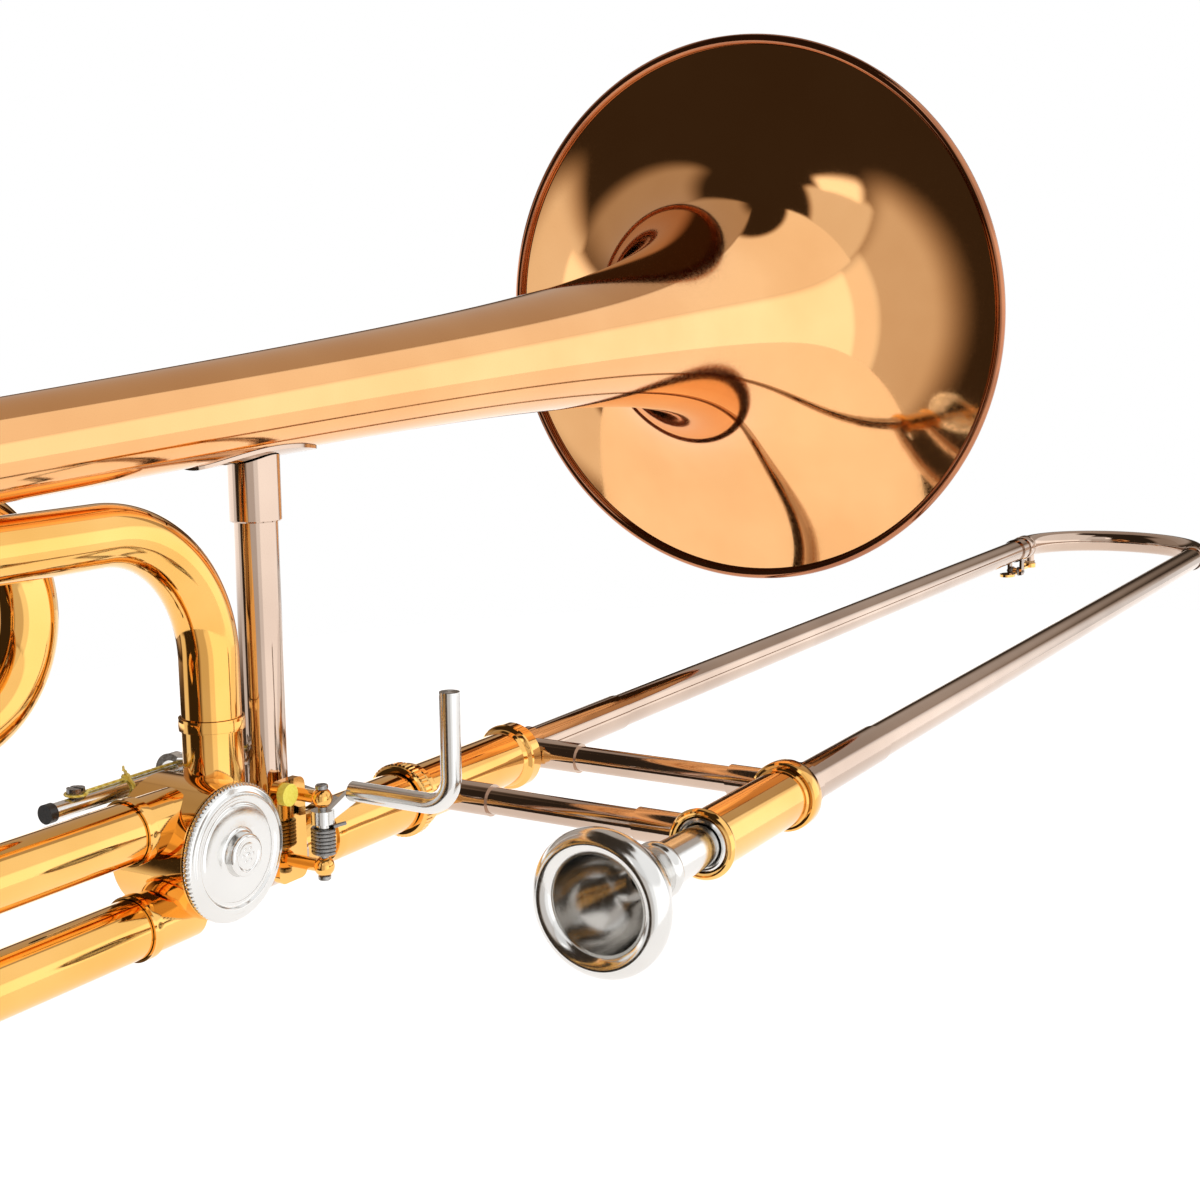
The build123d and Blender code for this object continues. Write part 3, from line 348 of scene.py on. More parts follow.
def tube(route, radius, bore=0.0, steps=ROUND_STEPS):
    """Round tube along a list of points, with its rings carried along without twist."""
    points = [Vector(p) for p in route]
    last = len(points) - 1
    tangents = []
    for index in range(len(points)):
        before = points[max(index - 1, 0)]
        after = points[min(index + 1, last)]
        tangents.append((after - before).normalized())
    _, side, _ = frame_of(tangents[0])
    verts = []
    walls = [radius] + ([bore] if bore else [])
    for point, tangent in zip(points, tangents):
        side = (side - tangent * side.dot(tangent)).normalized()
        up = tangent.cross(side)
        for wall in walls:
            for step in range(steps):
                turn = 2 * math.pi * step / steps
                verts.append(point + (side * math.cos(turn) + up * math.sin(turn)) * wall)
    faces = []
    per_point = steps * len(walls)
    for index in range(last):
        for wall in range(len(walls)):
            near = index * per_point + wall * steps
            faces += ring_faces(near, near + per_point, steps)
    for index in (0, last):
        start = index * per_point
        if bore:
            faces += ring_faces(start, start + steps, steps)
        else:
            faces.append(tuple(range(start, start + steps)))
    return verts, faces


def arc(centre, first, second, radius, begin, end, step=1.5):
    """Points on a circle: centre + radius (first cos + second sin), angles in degrees."""
    count = max(2, round(abs(end - begin) / step))
    points = []
    for index in range(count + 1):
        angle = math.radians(begin + (end - begin) * index / count)
        offset = Vector(first) * math.cos(angle) + Vector(second) * math.sin(angle)
        points.append(Vector(centre) + offset * radius)
    return points


def coil(centre, direction, radius, start, end, turns, begin, per_turn):
    """Points of a helix from start to end along an axis, beginning at an angle in degrees."""
    ahead, side, up = frame_of(direction)
    count = int(turns * per_turn)
    points = []
    for index in range(count + 1):
        share = index / count
        turn = math.radians(begin) + 2 * math.pi * turns * share
        offset = side * math.cos(turn) + up * math.sin(turn)
        points.append(Vector(centre) + ahead * (start + (end - start) * share) + offset * radius)
    return points


def smooth_curve(points, begin, end, steps=14):
    """Points of a smooth curve through corners, with given end directions (Hermite pieces)."""
    knots = [Vector((a, b, 0)) for a, b in points]
    spans = [(after - before).length for before, after in zip(knots, knots[1:])]
    slopes = [Vector((*begin, 0)).normalized()]
    for index in range(1, len(knots) - 1):
        slopes.append((knots[index + 1] - knots[index - 1]) / (spans[index - 1] + spans[index]))
    slopes.append(Vector((*end, 0)).normalized())
    result = []
    for index, span in enumerate(spans):
        for step in range(steps):
            t = step / steps
            near_pull = (t**3 - 2 * t**2 + t) * span
            far_pull = (t**3 - t**2) * span
            near = (2 * t**3 - 3 * t**2 + 1) * knots[index] + near_pull * slopes[index]
            far = (3 * t**2 - 2 * t**3) * knots[index + 1] + far_pull * slopes[index + 1]
            result.append(((near + far).x, (near + far).y))
    result.append(points[-1])
    return result


# ---------------------------------------------------------------- bell
RIM_CENTRE = Vector((0.0, 295.8, 142.2))
BELL_TILT = math.radians(4.0)
BELL_RIM_RADIUS = 108.0
BELL_LENGTH = 404.0
BELL_WALL = 0.8
FLARE_OFFSET = 9.42
FLARE_POWER = 0.6
FIRST_STATION = 0.5
STATIONS = 130
BELL_STEPS = 288
ALONG_BELL = Vector((0, -math.cos(BELL_TILT), -math.sin(BELL_TILT)))


def flare_radius(distance):
    """Outer radius of the bell at a distance behind its rim."""
    return BELL_RIM_RADIUS * (FLARE_OFFSET / (distance + FLARE_OFFSET)) ** FLARE_POWER


def flare_wall(distance, depth):
    """Corner of the bell's outline, at a depth below the outer surface."""
    radius = flare_radius(distance)
    slope = -FLARE_POWER * radius / (distance + FLARE_OFFSET)
    length = math.hypot(1.0, slope)
    return (distance + depth * slope / length, radius - depth / length)


growth = BELL_LENGTH / FIRST_STATION
stations = [FIRST_STATION * growth ** (step / STATIONS) for step in range(STATIONS + 1)]
bell_outline = [flare_wall(station, 0.0) for station in stations]
bell_outline += [flare_wall(station, BELL_WALL) for station in reversed(stations)]
bell_shape = lathe(RIM_CENTRE, ALONG_BELL, bell_outline, BELL_STEPS)
make_piece("bell", "bell_flare", bell_shape, replaced=("bell_flare", "bell_stem"))

RIM_BEAD = 1.9
BEAD_MIDDLE = 0.9
BEAD_STEPS = 28
rim_outline = []
for step in range(BEAD_STEPS):
    turn = 2 * math.pi * step / BEAD_STEPS
    bead_radius = BELL_RIM_RADIUS - RIM_BEAD + RIM_BEAD * math.sin(turn)
    rim_outline.append((BEAD_MIDDLE + RIM_BEAD * math.cos(turn), bead_radius))
rim_shape = lathe(RIM_CENTRE, ALONG_BELL, rim_outline, BELL_STEPS)
make_piece("rolled_rim", "bell_rim", rim_shape, sharp=40.0)

# ---------------------------------------------------------------- bent tubing
TUBE = 7.75
TUBE_BORE = 6.9
RISER_Y = -20.0
RISER_LOW_Z = 42.6
RISER_BEND = 36.0
F_TOP_Z = 93.5
F_FAR_X = -24.0
F_FAR_TOP_Z = 101.0
F_FAR_LOW_Z = 47.0
F_CROOK_Y = -210.0
FRONT_BOW_Y = -84.5
F_SLEEVE_Y = -120.0
OVERLAP = 0.1
riser_centre = (0, RISER_Y - RISER_BEND, F_TOP_Z - RISER_BEND)
riser_route = [Vector((0, RISER_Y, RISER_LOW_Z))]
riser_route += arc(riser_centre, AHEAD, UP, RISER_BEND, 0, 90)
riser_route += [Vector((0, F_CROOK_Y + OVERLAP, F_TOP_Z))]
make_piece("riser_tube", "f_riser_tube", tube(riser_route, TUBE, TUBE_BORE))

front_radius = (F_FAR_TOP_Z - F_FAR_LOW_Z) / 2
front_centre = (F_FAR_X, FRONT_BOW_Y, (F_FAR_TOP_Z + F_FAR_LOW_Z) / 2)
front_route = [Vector((F_FAR_X, F_CROOK_Y + OVERLAP, F_FAR_TOP_Z))]
front_route += arc(front_centre, UP, AHEAD, front_radius, 0, 180)
front_route += [Vector((F_FAR_X, F_SLEEVE_Y, F_FAR_LOW_Z))]
make_piece("front_bow", "f_front_bow", tube(front_route, TUBE, TUBE_BORE))


def half_turn(first, second):
    """Route from the first point round behind to the second, which is at the same y."""
    middle = (first + second) / 2
    arm = first - middle
    return arc(middle, arm.normalized(), BACK, arm.length, 0, 180, step=2.0)


crook_route = half_turn(Vector((0, F_CROOK_Y, F_TOP_Z)), Vector((F_FAR_X, F_CROOK_Y, F_FAR_TOP_Z)))
make_piece("rear_crook", "f_rear_crook", tube(crook_route, TUBE, TUBE_BORE))

MAIN_TUBE = 8.8
MAIN_BORE = 7.8
main_low, main_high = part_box("main_tuning_bow")
main_top_z = main_high.z / MM - MAIN_TUBE
main_bottom_z = main_low.z / MM + MAIN_TUBE
main_centre = (0, main_high.y / MM, (main_top_z + main_bottom_z) / 2)
main_route = arc(main_centre, UP, BACK, (main_top_z - main_bottom_z) / 2, 0, 180)
make_piece("tuning_bow", "main_tuning_bow", tube(main_route, MAIN_TUBE, MAIN_BORE))

SLIDE_BOW = 6.25
OUTER_BORE = 5.65
slide_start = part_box("slide_bow")[0].y / MM
slide_route = arc((SPACING / 2, slide_start, 0), LEFT, AHEAD, SPACING / 2, 0, 180)
make_piece("slide_end_bow", "slide_bow", tube(slide_route, SLIDE_BOW, OUTER_BORE, steps=72))

# ---------------------------------------------------------------- hand slide
# outlines here are rows of (y, radius)
OUTER_TUBE = 6.0
INNER_TUBE = 5.35
INNER_BORE = 4.9
STOCKING = 5.6
STOCKING_START = 585
STOCKING_END = 686
BARREL = 8.75
BARREL_BORE = 7.9
BARREL_END = 122.2
BARREL_LIP_BORE = 7.4
FLANGE = 10.8
RING_BORE = 8.05
slide_xs = (0.0, SPACING)
outer_tube = sleeve(start=106.0, end=slide_start, outside=OUTER_TUBE, inside=OUTER_BORE)
make_piece("outer_tubes", "outer_slide_tubes", *[along_y(x, 0, outer_tube) for x in slide_xs])
outer_sleeve = sleeve(start=122.9, end=190.0, outside=6.45, inside=6.02)
make_piece("sleeves", "outer_sleeves", *[along_y(x, 0, outer_sleeve) for x in slide_xs])
BOW_RING = 6.6
BOW_BEAD = 6.9
bow_ring = [
    (-9, 6.03),
    (-9, BOW_RING),
    (-8, BOW_BEAD),
    (-6.2, BOW_BEAD),
    (-5.8, BOW_RING),
    (-0.9, BOW_RING),
    (-0.6, BOW_BEAD),
    (0, BOW_BEAD),
    (0, 6.03),
]
bow_ring = [(slide_start + distance, radius) for distance, radius in bow_ring]
make_piece("bow_rings", "bow_ferrules", *[along_y(x, 0, bow_ring) for x in slide_xs])
inner_parts = []
for x, start in ((0.0, 63.2), (SPACING, 88.2)):
    inner_outline = [
        (start, INNER_BORE),
        (start, INNER_TUBE),
        (STOCKING_START, INNER_TUBE),
        (STOCKING_START + 1, STOCKING),
        (STOCKING_END - 1, STOCKING),
        (STOCKING_END, 5.3),
        (STOCKING_END, INNER_BORE),
    ]
    inner_parts.append(along_y(x, 0, inner_outline))
make_piece("inner_tubes", "inner_slide_tubes", *inner_parts)

barrel_bell_side = [
    (63.0, 5.39),
    (63.0, 9.9),
    (63.3, 10.2),
    (65.0, 10.2),
    (65.5, 9.9),
    (66.4, BARREL),
    (114.6, BARREL),
    (115.2, 9.3),
    (115.8, 9.5),
    (116.3, 9.3),
    (116.7, 9.9),
    (117.0, 10.5),
    (117.5, FLANGE),
    (121.7, FLANGE),
    (BARREL_END, 10.4),
    (BARREL_END, BARREL_LIP_BORE),
    (117.2, BARREL_LIP_BORE),
    (116.8, BARREL_BORE),
    (68.0, BARREL_BORE),
    (68.0, 5.39),
]
make_piece("barrel_bell_side", "cork_barrel_bell_side", along_y(0, 0, barrel_bell_side))
barrel_mouth_side = [
    (63.4, BARREL_BORE),
    (62.5, 8.1),
    (62.1, 8.6),
    (62.0, 9.1),
    (62.2, 9.6),
    (62.7, 10.0),
    (63.3, 10.2),
    (64.0, 10.1),
    (64.6, 9.7),
    (65.4, BARREL),
    (114.8, BARREL),
    (115.3, 9.2),
    (116.0, 9.2),
    (116.0, 8.0),
    (BARREL_END, 8.0),
    (BARREL_END, BARREL_LIP_BORE),
    (117.2, BARREL_LIP_BORE),
    (116.8, BARREL_BORE),
]
barrel_shape = along_y(SPACING, 0, barrel_mouth_side)
make_piece("barrel_mouthpiece_side", "cork_barrel_mouthpiece_side", barrel_shape)
ring_outline = [
    (116.2, RING_BORE),
    (116.2, 10.0),
    (116.6, 10.6),
    (117.2, FLANGE),
    (121.3, FLANGE),
    (121.8, 10.6),
    (122.1, 10.1),
    (122.1, RING_BORE),
]
make_piece("lock_ring", "slide_lock_ring", along_y(SPACING, 0, ring_outline))
receiver_inside = [
    (63.4, 5.93),
    (62.6, 6.15),
    (62.2, 6.6),
    (62.15, 7.1),
    (62.5, 7.6),
    (63.2, 7.87),
    (93.0, 7.87),
    (93.0, 5.39),
    (87.8, 5.39),
    (87.6, 5.34),
]
make_piece("receiver_tube", "mouthpiece_receiver", along_y(SPACING, 0, receiver_inside))

# ---------------------------------------------------------------- neck
neck_outline = sleeve(start=-8.5, end=27.0, outside=TUBE, inside=TUBE_BORE)
make_piece("neck_tube", "neckpipe", along_y(0, 0, neck_outline))
slide_receiver = [
    (20, 7.79),
    (20, 8.35),
    (22, 8.85),
    (23.5, 8.95),
    (56.4, 9.0),
    (57, 8.7),
    (57, 7.44),
    (27.4, 7.44),
    (27.4, 7.79),
]
make_piece("receiver", "slide_receiver", along_y(0, 0, slide_receiver))
tenon_outline = sleeve(start=28.0, end=62.9, outside=7.4, inside=5.0)
make_piece("tenon", "slide_tenon", along_y(0, 0, tenon_outline))

# ---------------------------------------------------------------- tubes behind the valve
KNUCKLE_END = -52.0
LOWER_REAR_Z = -5.2
UPPER_REAR_Z = 19.5
gooseneck = sleeve(KNUCKLE_END, -112.0, TUBE, TUBE_BORE, edge=0.02)
make_piece("gooseneck_tube", "gooseneck", along_y(0, LOWER_REAR_Z, gooseneck))
lower_tube = sleeve(KNUCKLE_END, F_SLEEVE_Y, TUBE, TUBE_BORE, edge=0.02)
make_piece("valve_slide_tube", "f_lower_tube", along_y(0, UPPER_REAR_Z, lower_tube))

# the upper main sleeve starts on the bell's axis and bends until it is level
MAIN_SLEEVE = 9.2
MAIN_SLEEVE_BORE = 8.5
MAIN_SLEEVE_END = -236.0
SLEEVE_BEND = 300.0
SLEEVE_BEND_STEPS = 8
tail_point = RIM_CENTRE + ALONG_BELL * (BELL_LENGTH + 0.5)
upper_sleeve = [tail_point]
for step in range(1, SLEEVE_BEND_STEPS + 1):
    angle = BELL_TILT * (1 - step / SLEEVE_BEND_STEPS)
    back = SLEEVE_BEND * (math.sin(BELL_TILT) - math.sin(angle))
    down = SLEEVE_BEND * (math.cos(angle) - math.cos(BELL_TILT))
    upper_sleeve.append(tail_point + Vector((0, -back, -down)))
upper_sleeve.append(Vector((0, MAIN_SLEEVE_END, upper_sleeve[-1].z)))
upper_shape = tube(upper_sleeve, MAIN_SLEEVE, MAIN_SLEEVE_BORE)
lower_outline = sleeve(-112.1, MAIN_SLEEVE_END, MAIN_SLEEVE, MAIN_SLEEVE_BORE)
lower_shape = along_y(0, LOWER_REAR_Z, lower_outline)
make_piece("main_sleeves", "main_tuning_sleeves", upper_shape, lower_shape)
tail_radius = flare_radius(BELL_LENGTH)
bell_ferrule = [
    (BELL_LENGTH - 9, tail_radius + 0.42),
    (BELL_LENGTH - 8.7, tail_radius + 0.9),
    (BELL_LENGTH - 8, tail_radius + 1.1),
    (BELL_LENGTH + 1, tail_radius + 1.1),
    (BELL_LENGTH + 9, 10.2),
    (BELL_LENGTH + 9.7, 10.0),
    (BELL_LENGTH + 10, 9.5),
    (BELL_LENGTH + 0.3, 9.5),
    (BELL_LENGTH + 0.3, tail_radius + 0.1),
    (BELL_LENGTH, tail_radius + 0.1),
]
reducer = [
    (-106, 7.8),
    (-106, 8.3),
    (-106.4, 8.5),
    (-113.4, 10.0),
    (-114, 10.1),
    (-116.7, 10.1),
    (-117, 9.8),
    (-117, 9.25),
    (-112, 9.25),
    (-112, 7.8),
]
ferrule_parts = (lathe(RIM_CENTRE, ALONG_BELL, bell_ferrule), along_y(0, LOWER_REAR_Z, reducer))
make_piece("sleeve_ferrules", "tuning_sleeve_ferrules", *ferrule_parts)
main_zs = (main_top_z, main_bottom_z)
main_leg = sleeve(start=-152.0, end=-239.95, outside=8.45, inside=MAIN_BORE)
make_piece("main_legs", "main_tuning_legs", *[along_y(0, z, main_leg) for z in main_zs])
main_ring = [
    (-236.4, 8.85),
    (-236.4, 9.7),
    (-236.7, 9.9),
    (-240.1, 9.9),
    (-241.6, 9.35),
    (-241.6, 9.15),
    (-239.8, 9.15),
    (-239.8, 8.5),
    (-236.6, 8.5),
]
make_piece("main_rings", "main_tuning_ferrules", *[along_y(0, z, main_ring) for z in main_zs])

# each F sleeve has a collar where the tube in front of it ends
F_SLEEVE = 8.1
F_COLLAR = 8.7
F_SLEEVE_START = -120.1
F_COLLAR_EDGE = 0.25
f_sleeve_outlines = (
    sleeve(F_SLEEVE_START, -218.0, F_SLEEVE, 7.45),
    sleeve(-117.5, F_SLEEVE_START, F_COLLAR, 7.78, F_COLLAR_EDGE),
    sleeve(F_SLEEVE_START, -123.0, F_COLLAR, F_SLEEVE, F_COLLAR_EDGE),
)
f_sleeve_parts = []
for x, z in ((F_FAR_X, F_FAR_LOW_Z), (0, UPPER_REAR_Z)):
    f_sleeve_parts += [along_y(x, z, outline) for outline in f_sleeve_outlines]
make_piece("f_sleeves", "f_tuning_sleeves", *f_sleeve_parts)
F_BOW_Y = -222.0
F_BOW_RING_Y = -218.4
F_BOW_BORE = 6.7
f_leg_outline = sleeve(-160.0, F_BOW_RING_Y, 7.4, F_BOW_BORE)
f_ring_outline = sleeve(F_BOW_RING_Y, F_BOW_Y, 8.5, F_BOW_BORE, 0.3)
far_leg = Vector((F_FAR_X, F_BOW_Y, F_FAR_LOW_Z))
near_leg = Vector((0, F_BOW_Y, UPPER_REAR_Z))
f_bow_parts = [tube(half_turn(far_leg, near_leg), TUBE, F_BOW_BORE)]
for leg in (far_leg, near_leg):
    f_bow_parts += [along_y(leg.x, leg.z, outline) for outline in (f_leg_outline, f_ring_outline)]
make_piece("f_bow", "f_tuning_bow", *f_bow_parts)

# ---------------------------------------------------------------- brace under the bell
# its foot follows the saddle on the neck and its top follows the bell
BRACE = 5.83
BRACE_LOW_Z = 13.0
BRACE_TOP_Z = 91.0
FOOT = 6.73
FOOT_LOW_Z = 5.0
FOOT_TOP_Z = 13.85
SOCKET = 6.9
SOCKET_LOW_Z = 91.1
SOCKET_TOP_Z = 110.0
SADDLE_RADIUS = 8.7
BELL_CUT_RADIUS = 14.5
shaft_outline = [(BRACE_LOW_Z, 4.2), (BRACE_LOW_Z, BRACE), (BRACE_TOP_Z, BRACE), (BRACE_TOP_Z, 5.03)]
brace_shaft = lathe((0, 0, 0), UP, shaft_outline)
foot_outline = [(FOOT_LOW_Z, 0.5), (FOOT_LOW_Z, FOOT), (13.2, FOOT), (FOOT_TOP_Z, 6.4), (FOOT_TOP_Z, 0.5)]
foot_verts, foot_faces = lathe((0, 0, 0), UP, foot_outline)
for vert in foot_verts:
    if vert.z < FOOT_LOW_Z + 1:
        vert.z = math.sqrt(SADDLE_RADIUS**2 - vert.x**2)
make_piece("brace_tube", "bell_brace", brace_shaft, (foot_verts, foot_faces))
socket_outline = [
    (SOCKET_LOW_Z, 5.2),
    (SOCKET_LOW_Z, 6.6),
    (91.5, SOCKET),
    (SOCKET_TOP_Z, SOCKET),
    (SOCKET_TOP_Z, 5.2),
]
socket_verts, socket_faces = lathe((0, 0, 0), UP, socket_outline)
for vert in socket_verts:
    if vert.z > SOCKET_TOP_Z - 1:
        middle_z = RIM_CENTRE.z - (RIM_CENTRE.y - vert.y) * math.tan(BELL_TILT)
        vert.z = middle_z - math.sqrt(BELL_CUT_RADIUS**2 - vert.x**2) / math.cos(BELL_TILT)
saddle_outline = sleeve(start=-6.5, end=6.5, outside=8.65, inside=7.8, edge=0.3)
saddle_ring = along_y(0, 0, saddle_outline)
fitting_parts = ((socket_verts, socket_faces), saddle_ring)
make_piece("brace_fittings", "bell_brace_fittings", *fitting_parts)

# ---------------------------------------------------------------- skins over the valve casing and knuckles
VALVE = Vector((0, -28.0, 10.0))
CASING = 17.85
casing_outline = [(-12.0, 17.3), (-12.0, 17.7), (-11.7, CASING), (11.7, CASING), (12.0, 17.7), (12.0, 17.3)]
casing_skin = lathe(VALVE, RIGHT, casing_outline, FINE_STEPS)
make_piece("casing_skin", "valve_casing", casing_skin, replaced=())
KNUCKLE = 7.83
KNUCKLE_BORE = 7.5
COLLAR = 8.54
COLLAR_LENGTH = 3.2
# inner end, outer end, and whether there is a collar
knuckle_runs = (
    ((0, VALVE.y + 14.0, 0), (0, -8.6, 0), False),
    ((0, RISER_Y, VALVE.z + 14.0), (0, RISER_Y, 42.5), True),
    ((0, VALVE.y - 12.5, UPPER_REAR_Z), (0, KNUCKLE_END, UPPER_REAR_Z), True),
    ((0, VALVE.y - 8.0, LOWER_REAR_Z), (0, KNUCKLE_END, LOWER_REAR_Z), True),
)
knuckle_parts = []
for inner, outer, collared in knuckle_runs:
    run = Vector(outer) - Vector(inner)
    end = run.length
    knuckle = [(0, KNUCKLE_BORE), (0, KNUCKLE), (end, KNUCKLE), (end, KNUCKLE_BORE)]
    if collared:
        collar = end - COLLAR_LENGTH
        knuckle = [
            (0, KNUCKLE_BORE),
            (0, KNUCKLE),
            (collar, KNUCKLE),
            (collar, 8.35),
            (collar + 0.25, COLLAR),
            (end - 0.9, COLLAR),
            (end - 0.5, 8.42),
            (end, 7.95),
            (end, KNUCKLE_BORE),
        ]
    knuckle_parts.append(lathe(inner, run, knuckle))
make_piece("knuckle_skins", "valve_knuckles", *knuckle_parts, replaced=())

# ---------------------------------------------------------------- lock nut
NUT_GROOVES = 48
NUT_GROOVE_DEPTH = 0.30
NUT_GROOVED_RADIUS = 10.9
NUT_BORE = 7.46


def nut_knurl(distance, radius, turn):
    """Fine grooves round the outside of the lock nut."""
    if radius < NUT_GROOVED_RADIUS:
        return radius
    return radius - NUT_GROOVE_DEPTH * max(0.0, math.cos(NUT_GROOVES * turn)) ** 4


nut_outline = [
    (57.6, NUT_BORE),
    (57.6, 10.2),
    (57.9, 10.6),
    (58.3, 10.8),
    (58.6, 11.3),
    (61.3, 11.3),
    (61.6, 10.8),
    (62.0, 10.6),
    (62.3, 10.2),
    (62.3, NUT_BORE),
]
nut = lathe((0, 0, 0), AHEAD, nut_outline, 10 * NUT_GROOVES, nut_knurl)
make_piece("lock_nut", "bell_lock_nut", nut)

# ---------------------------------------------------------------- mouthpiece
# rows of (distance behind the front, radius): rounded rim, tapering cup, ring, shank, and the bowl inside
RIM_FRONT = 4.0
bowl_edge = (2.6, 12.9)
rim_top = (3.7, 19.45)
cup_neck = (9.0, 15.6)
rim_edge = smooth_curve((bowl_edge, (0.0, 16.4), rim_top), (-1.0, 0.25), (1.0, 0.12), 24)
cup_back = smooth_curve((rim_top, (7.2, 18.6), cup_neck), (1.0, 0.12), (0.5, -1.0))
cup_taper = smooth_curve((cup_neck, (16.0, 13.6), (23.5, 9.6), (31.0, 7.2)), (1.0, -0.1), (1.0, -0.05))
shank = [
    (31.6, 7.45),
    (32.0, 7.8),
    (32.5, 7.95),
    (33.5, 7.95),
    (34.0, 7.8),
    (34.4, 7.3),
    (35.0, 6.5),
    (36.0, 6.4),
    (82.8, 5.3),
    (83.0, 5.1),
    (83.0, 4.7),
    (31.5, 3.4),
]
bowl = smooth_curve(((25.5, 3.4), (19.5, 7.2), (11.0, 11.4), bowl_edge), (-0.75, 1.0), (-1.0, 0.06))
cup_outline = rim_edge[:-1] + cup_back[:-1] + cup_taper + shank + bowl[:-1]
cup_shape = lathe((SPACING, RIM_FRONT, 0), AHEAD, cup_outline, FINE_STEPS)
make_piece("cup_mouthpiece", "mouthpiece", cup_shape, sharp=40.0)

# ---------------------------------------------------------------- skin over the thumb lever's rod
THUMB_ROD = 2.74
ROD_BEND = 8.0
ROD_STEPS = 48
rod_start = Vector((22.5, 8.5, 18.4))
bend_centre = Vector((47.0, 8.5, 26.4))
rod_top = Vector((55.0, 8.5, 48.4))
rod_bend = arc(bend_centre, DOWN, RIGHT, ROD_BEND, 0, 90, step=5.0)
rod_shape = tube([rod_start] + rod_bend + [rod_top], THUMB_ROD, steps=ROD_STEPS)
tip_outline = [(0.0, 0.01), (0.0, THUMB_ROD), (0.3, 2.65), (0.55, 2.35), (0.7, 0.01)]
rod_tip = capped_lathe(rod_top, UP, tip_outline, ROD_STEPS)
make_piece("thumb_rod", "thumb_lever", rod_shape, rod_tip, replaced=())

# ---------------------------------------------------------------- valve cap
# rows of (distance out from the valve's middle, radius), from the inside to the middle of the front
CAP_BACK = 12.15
CAP_EDGE = 17.62
CAP_BULGE = 0.28
CAP_EDGE_START = 12.25
CAP_EDGE_WIDTH = 1.5
CAP_EDGE_STEPS = 12
CAP_MIDDLE = 0.6
BEADS = 90
BEAD_HEIGHT = 0.13
BEADS_START = 12.3
BEADS_END = 13.8
cap_outline = [(CAP_BACK, CAP_MIDDLE), (CAP_BACK, 17.55)]
for step in range(CAP_EDGE_STEPS + 1):
    bulge = CAP_BULGE * math.sin(math.pi * step / CAP_EDGE_STEPS)
    cap_outline.append((CAP_EDGE_START + CAP_EDGE_WIDTH * step / CAP_EDGE_STEPS, CAP_EDGE + bulge))
cap_outline += [(14.1, 17.35), (14.3, 17.1), (14.4, 16.7), (14.4, 15.9), (14.5, 15.7), (14.85, 15.5)]
cap_outline += [(14.9, 15.3), (14.9, 14.3), (14.85, 14.1), (14.4, 13.8), (14.3, 13.55), (14.3, 12.75)]
cap_outline += [(14.4, 12.5), (14.65, 12.3), (14.7, 12.1), (14.72, 9.5), (14.74, 7.0), (14.8, 6.4)]
cap_outline += [(15.0, 5.9), (15.3, 5.7), (16.9, 5.55), (17.3, 5.45), (17.6, 5.2), (17.8, 4.8)]
cap_outline += [(17.85, 4.4), (17.75, 4.0), (17.55, 3.8), (17.5, 3.5), (17.55, 3.2), (17.62, 2.6)]
cap_outline += [(17.6, CAP_MIDDLE)]


def cap_knurl(distance, radius, turn):
    """Fine beads round the cap's edge."""
    if BEADS_START < distance < BEADS_END:
        return radius + BEAD_HEIGHT * math.cos(BEADS * turn)
    return radius


cap_shape = capped_lathe(VALVE, RIGHT, cap_outline, 6 * BEADS, cap_knurl)
make_piece("cap", "valve_cap", cap_shape, sharp=50.0)

# raised rosette in the middle of the cap
PETALS = 6
PETAL_RING = 1.75
ROSETTE_X = 17.5
petal_outline = [(0.0, 0.01), (0.0, 0.62), (0.12, 0.6), (0.24, 0.5), (0.33, 0.3), (0.36, 0.01)]
middle_outline = [(0.0, 0.01), (0.0, 0.9), (0.15, 0.85), (0.3, 0.65), (0.4, 0.35), (0.43, 0.01)]
petals = []
for index in range(PETALS):
    turn = math.radians(360 / PETALS * index)
    place = VALVE + Vector((ROSETTE_X, PETAL_RING * math.cos(turn), PETAL_RING * math.sin(turn)))
    petals.append(capped_lathe(place, RIGHT, petal_outline, steps=18))
petals.append(capped_lathe(VALVE + Vector((ROSETTE_X, 0, 0)), RIGHT, middle_outline, steps=24))
make_piece("cap_rosette", "valve_cap", *petals, replaced=(), sharp=28.0)

# ---------------------------------------------------------------- lever spring and screws
HINGE = Vector((18.0, 1.2, 0.0))
SPRING_WIRE = 0.52
spring_route = coil(HINGE, UP, radius=2.82, start=2.65, end=9.75, turns=7.0, begin=60.0, per_turn=36)
spring_foot = [spring_route[0] + Vector((-2.2, -1.2, -0.1)), spring_route[0] + Vector((-1.0, -0.6, -0.05))]
spring_tail = [spring_route[-1] + Vector((0.8, 1.6, 0.25)), spring_route[-1] + Vector((1.6, 3.2, 0.4))]
spring_shape = tube(spring_foot + spring_route + spring_tail, SPRING_WIRE, steps=14)
make_piece("coil_spring", "lever_spring", spring_shape, sharp=28.0)

HEAD_STEPS = 48
HEAD_RADIUS = 1.75
HEAD_CROWN = 0.86 * HEAD_RADIUS
HEAD_HEIGHT = 1.1
HEAD_SIDE = 0.75 * HEAD_HEIGHT
SLOT_FLOOR = 0.35 * HEAD_HEIGHT
SLOT = 0.5
TOP_HEAD = HINGE + Vector((0, 0, 20.3))
LOW_HEAD = HINGE + Vector((0, 0, -3.8))


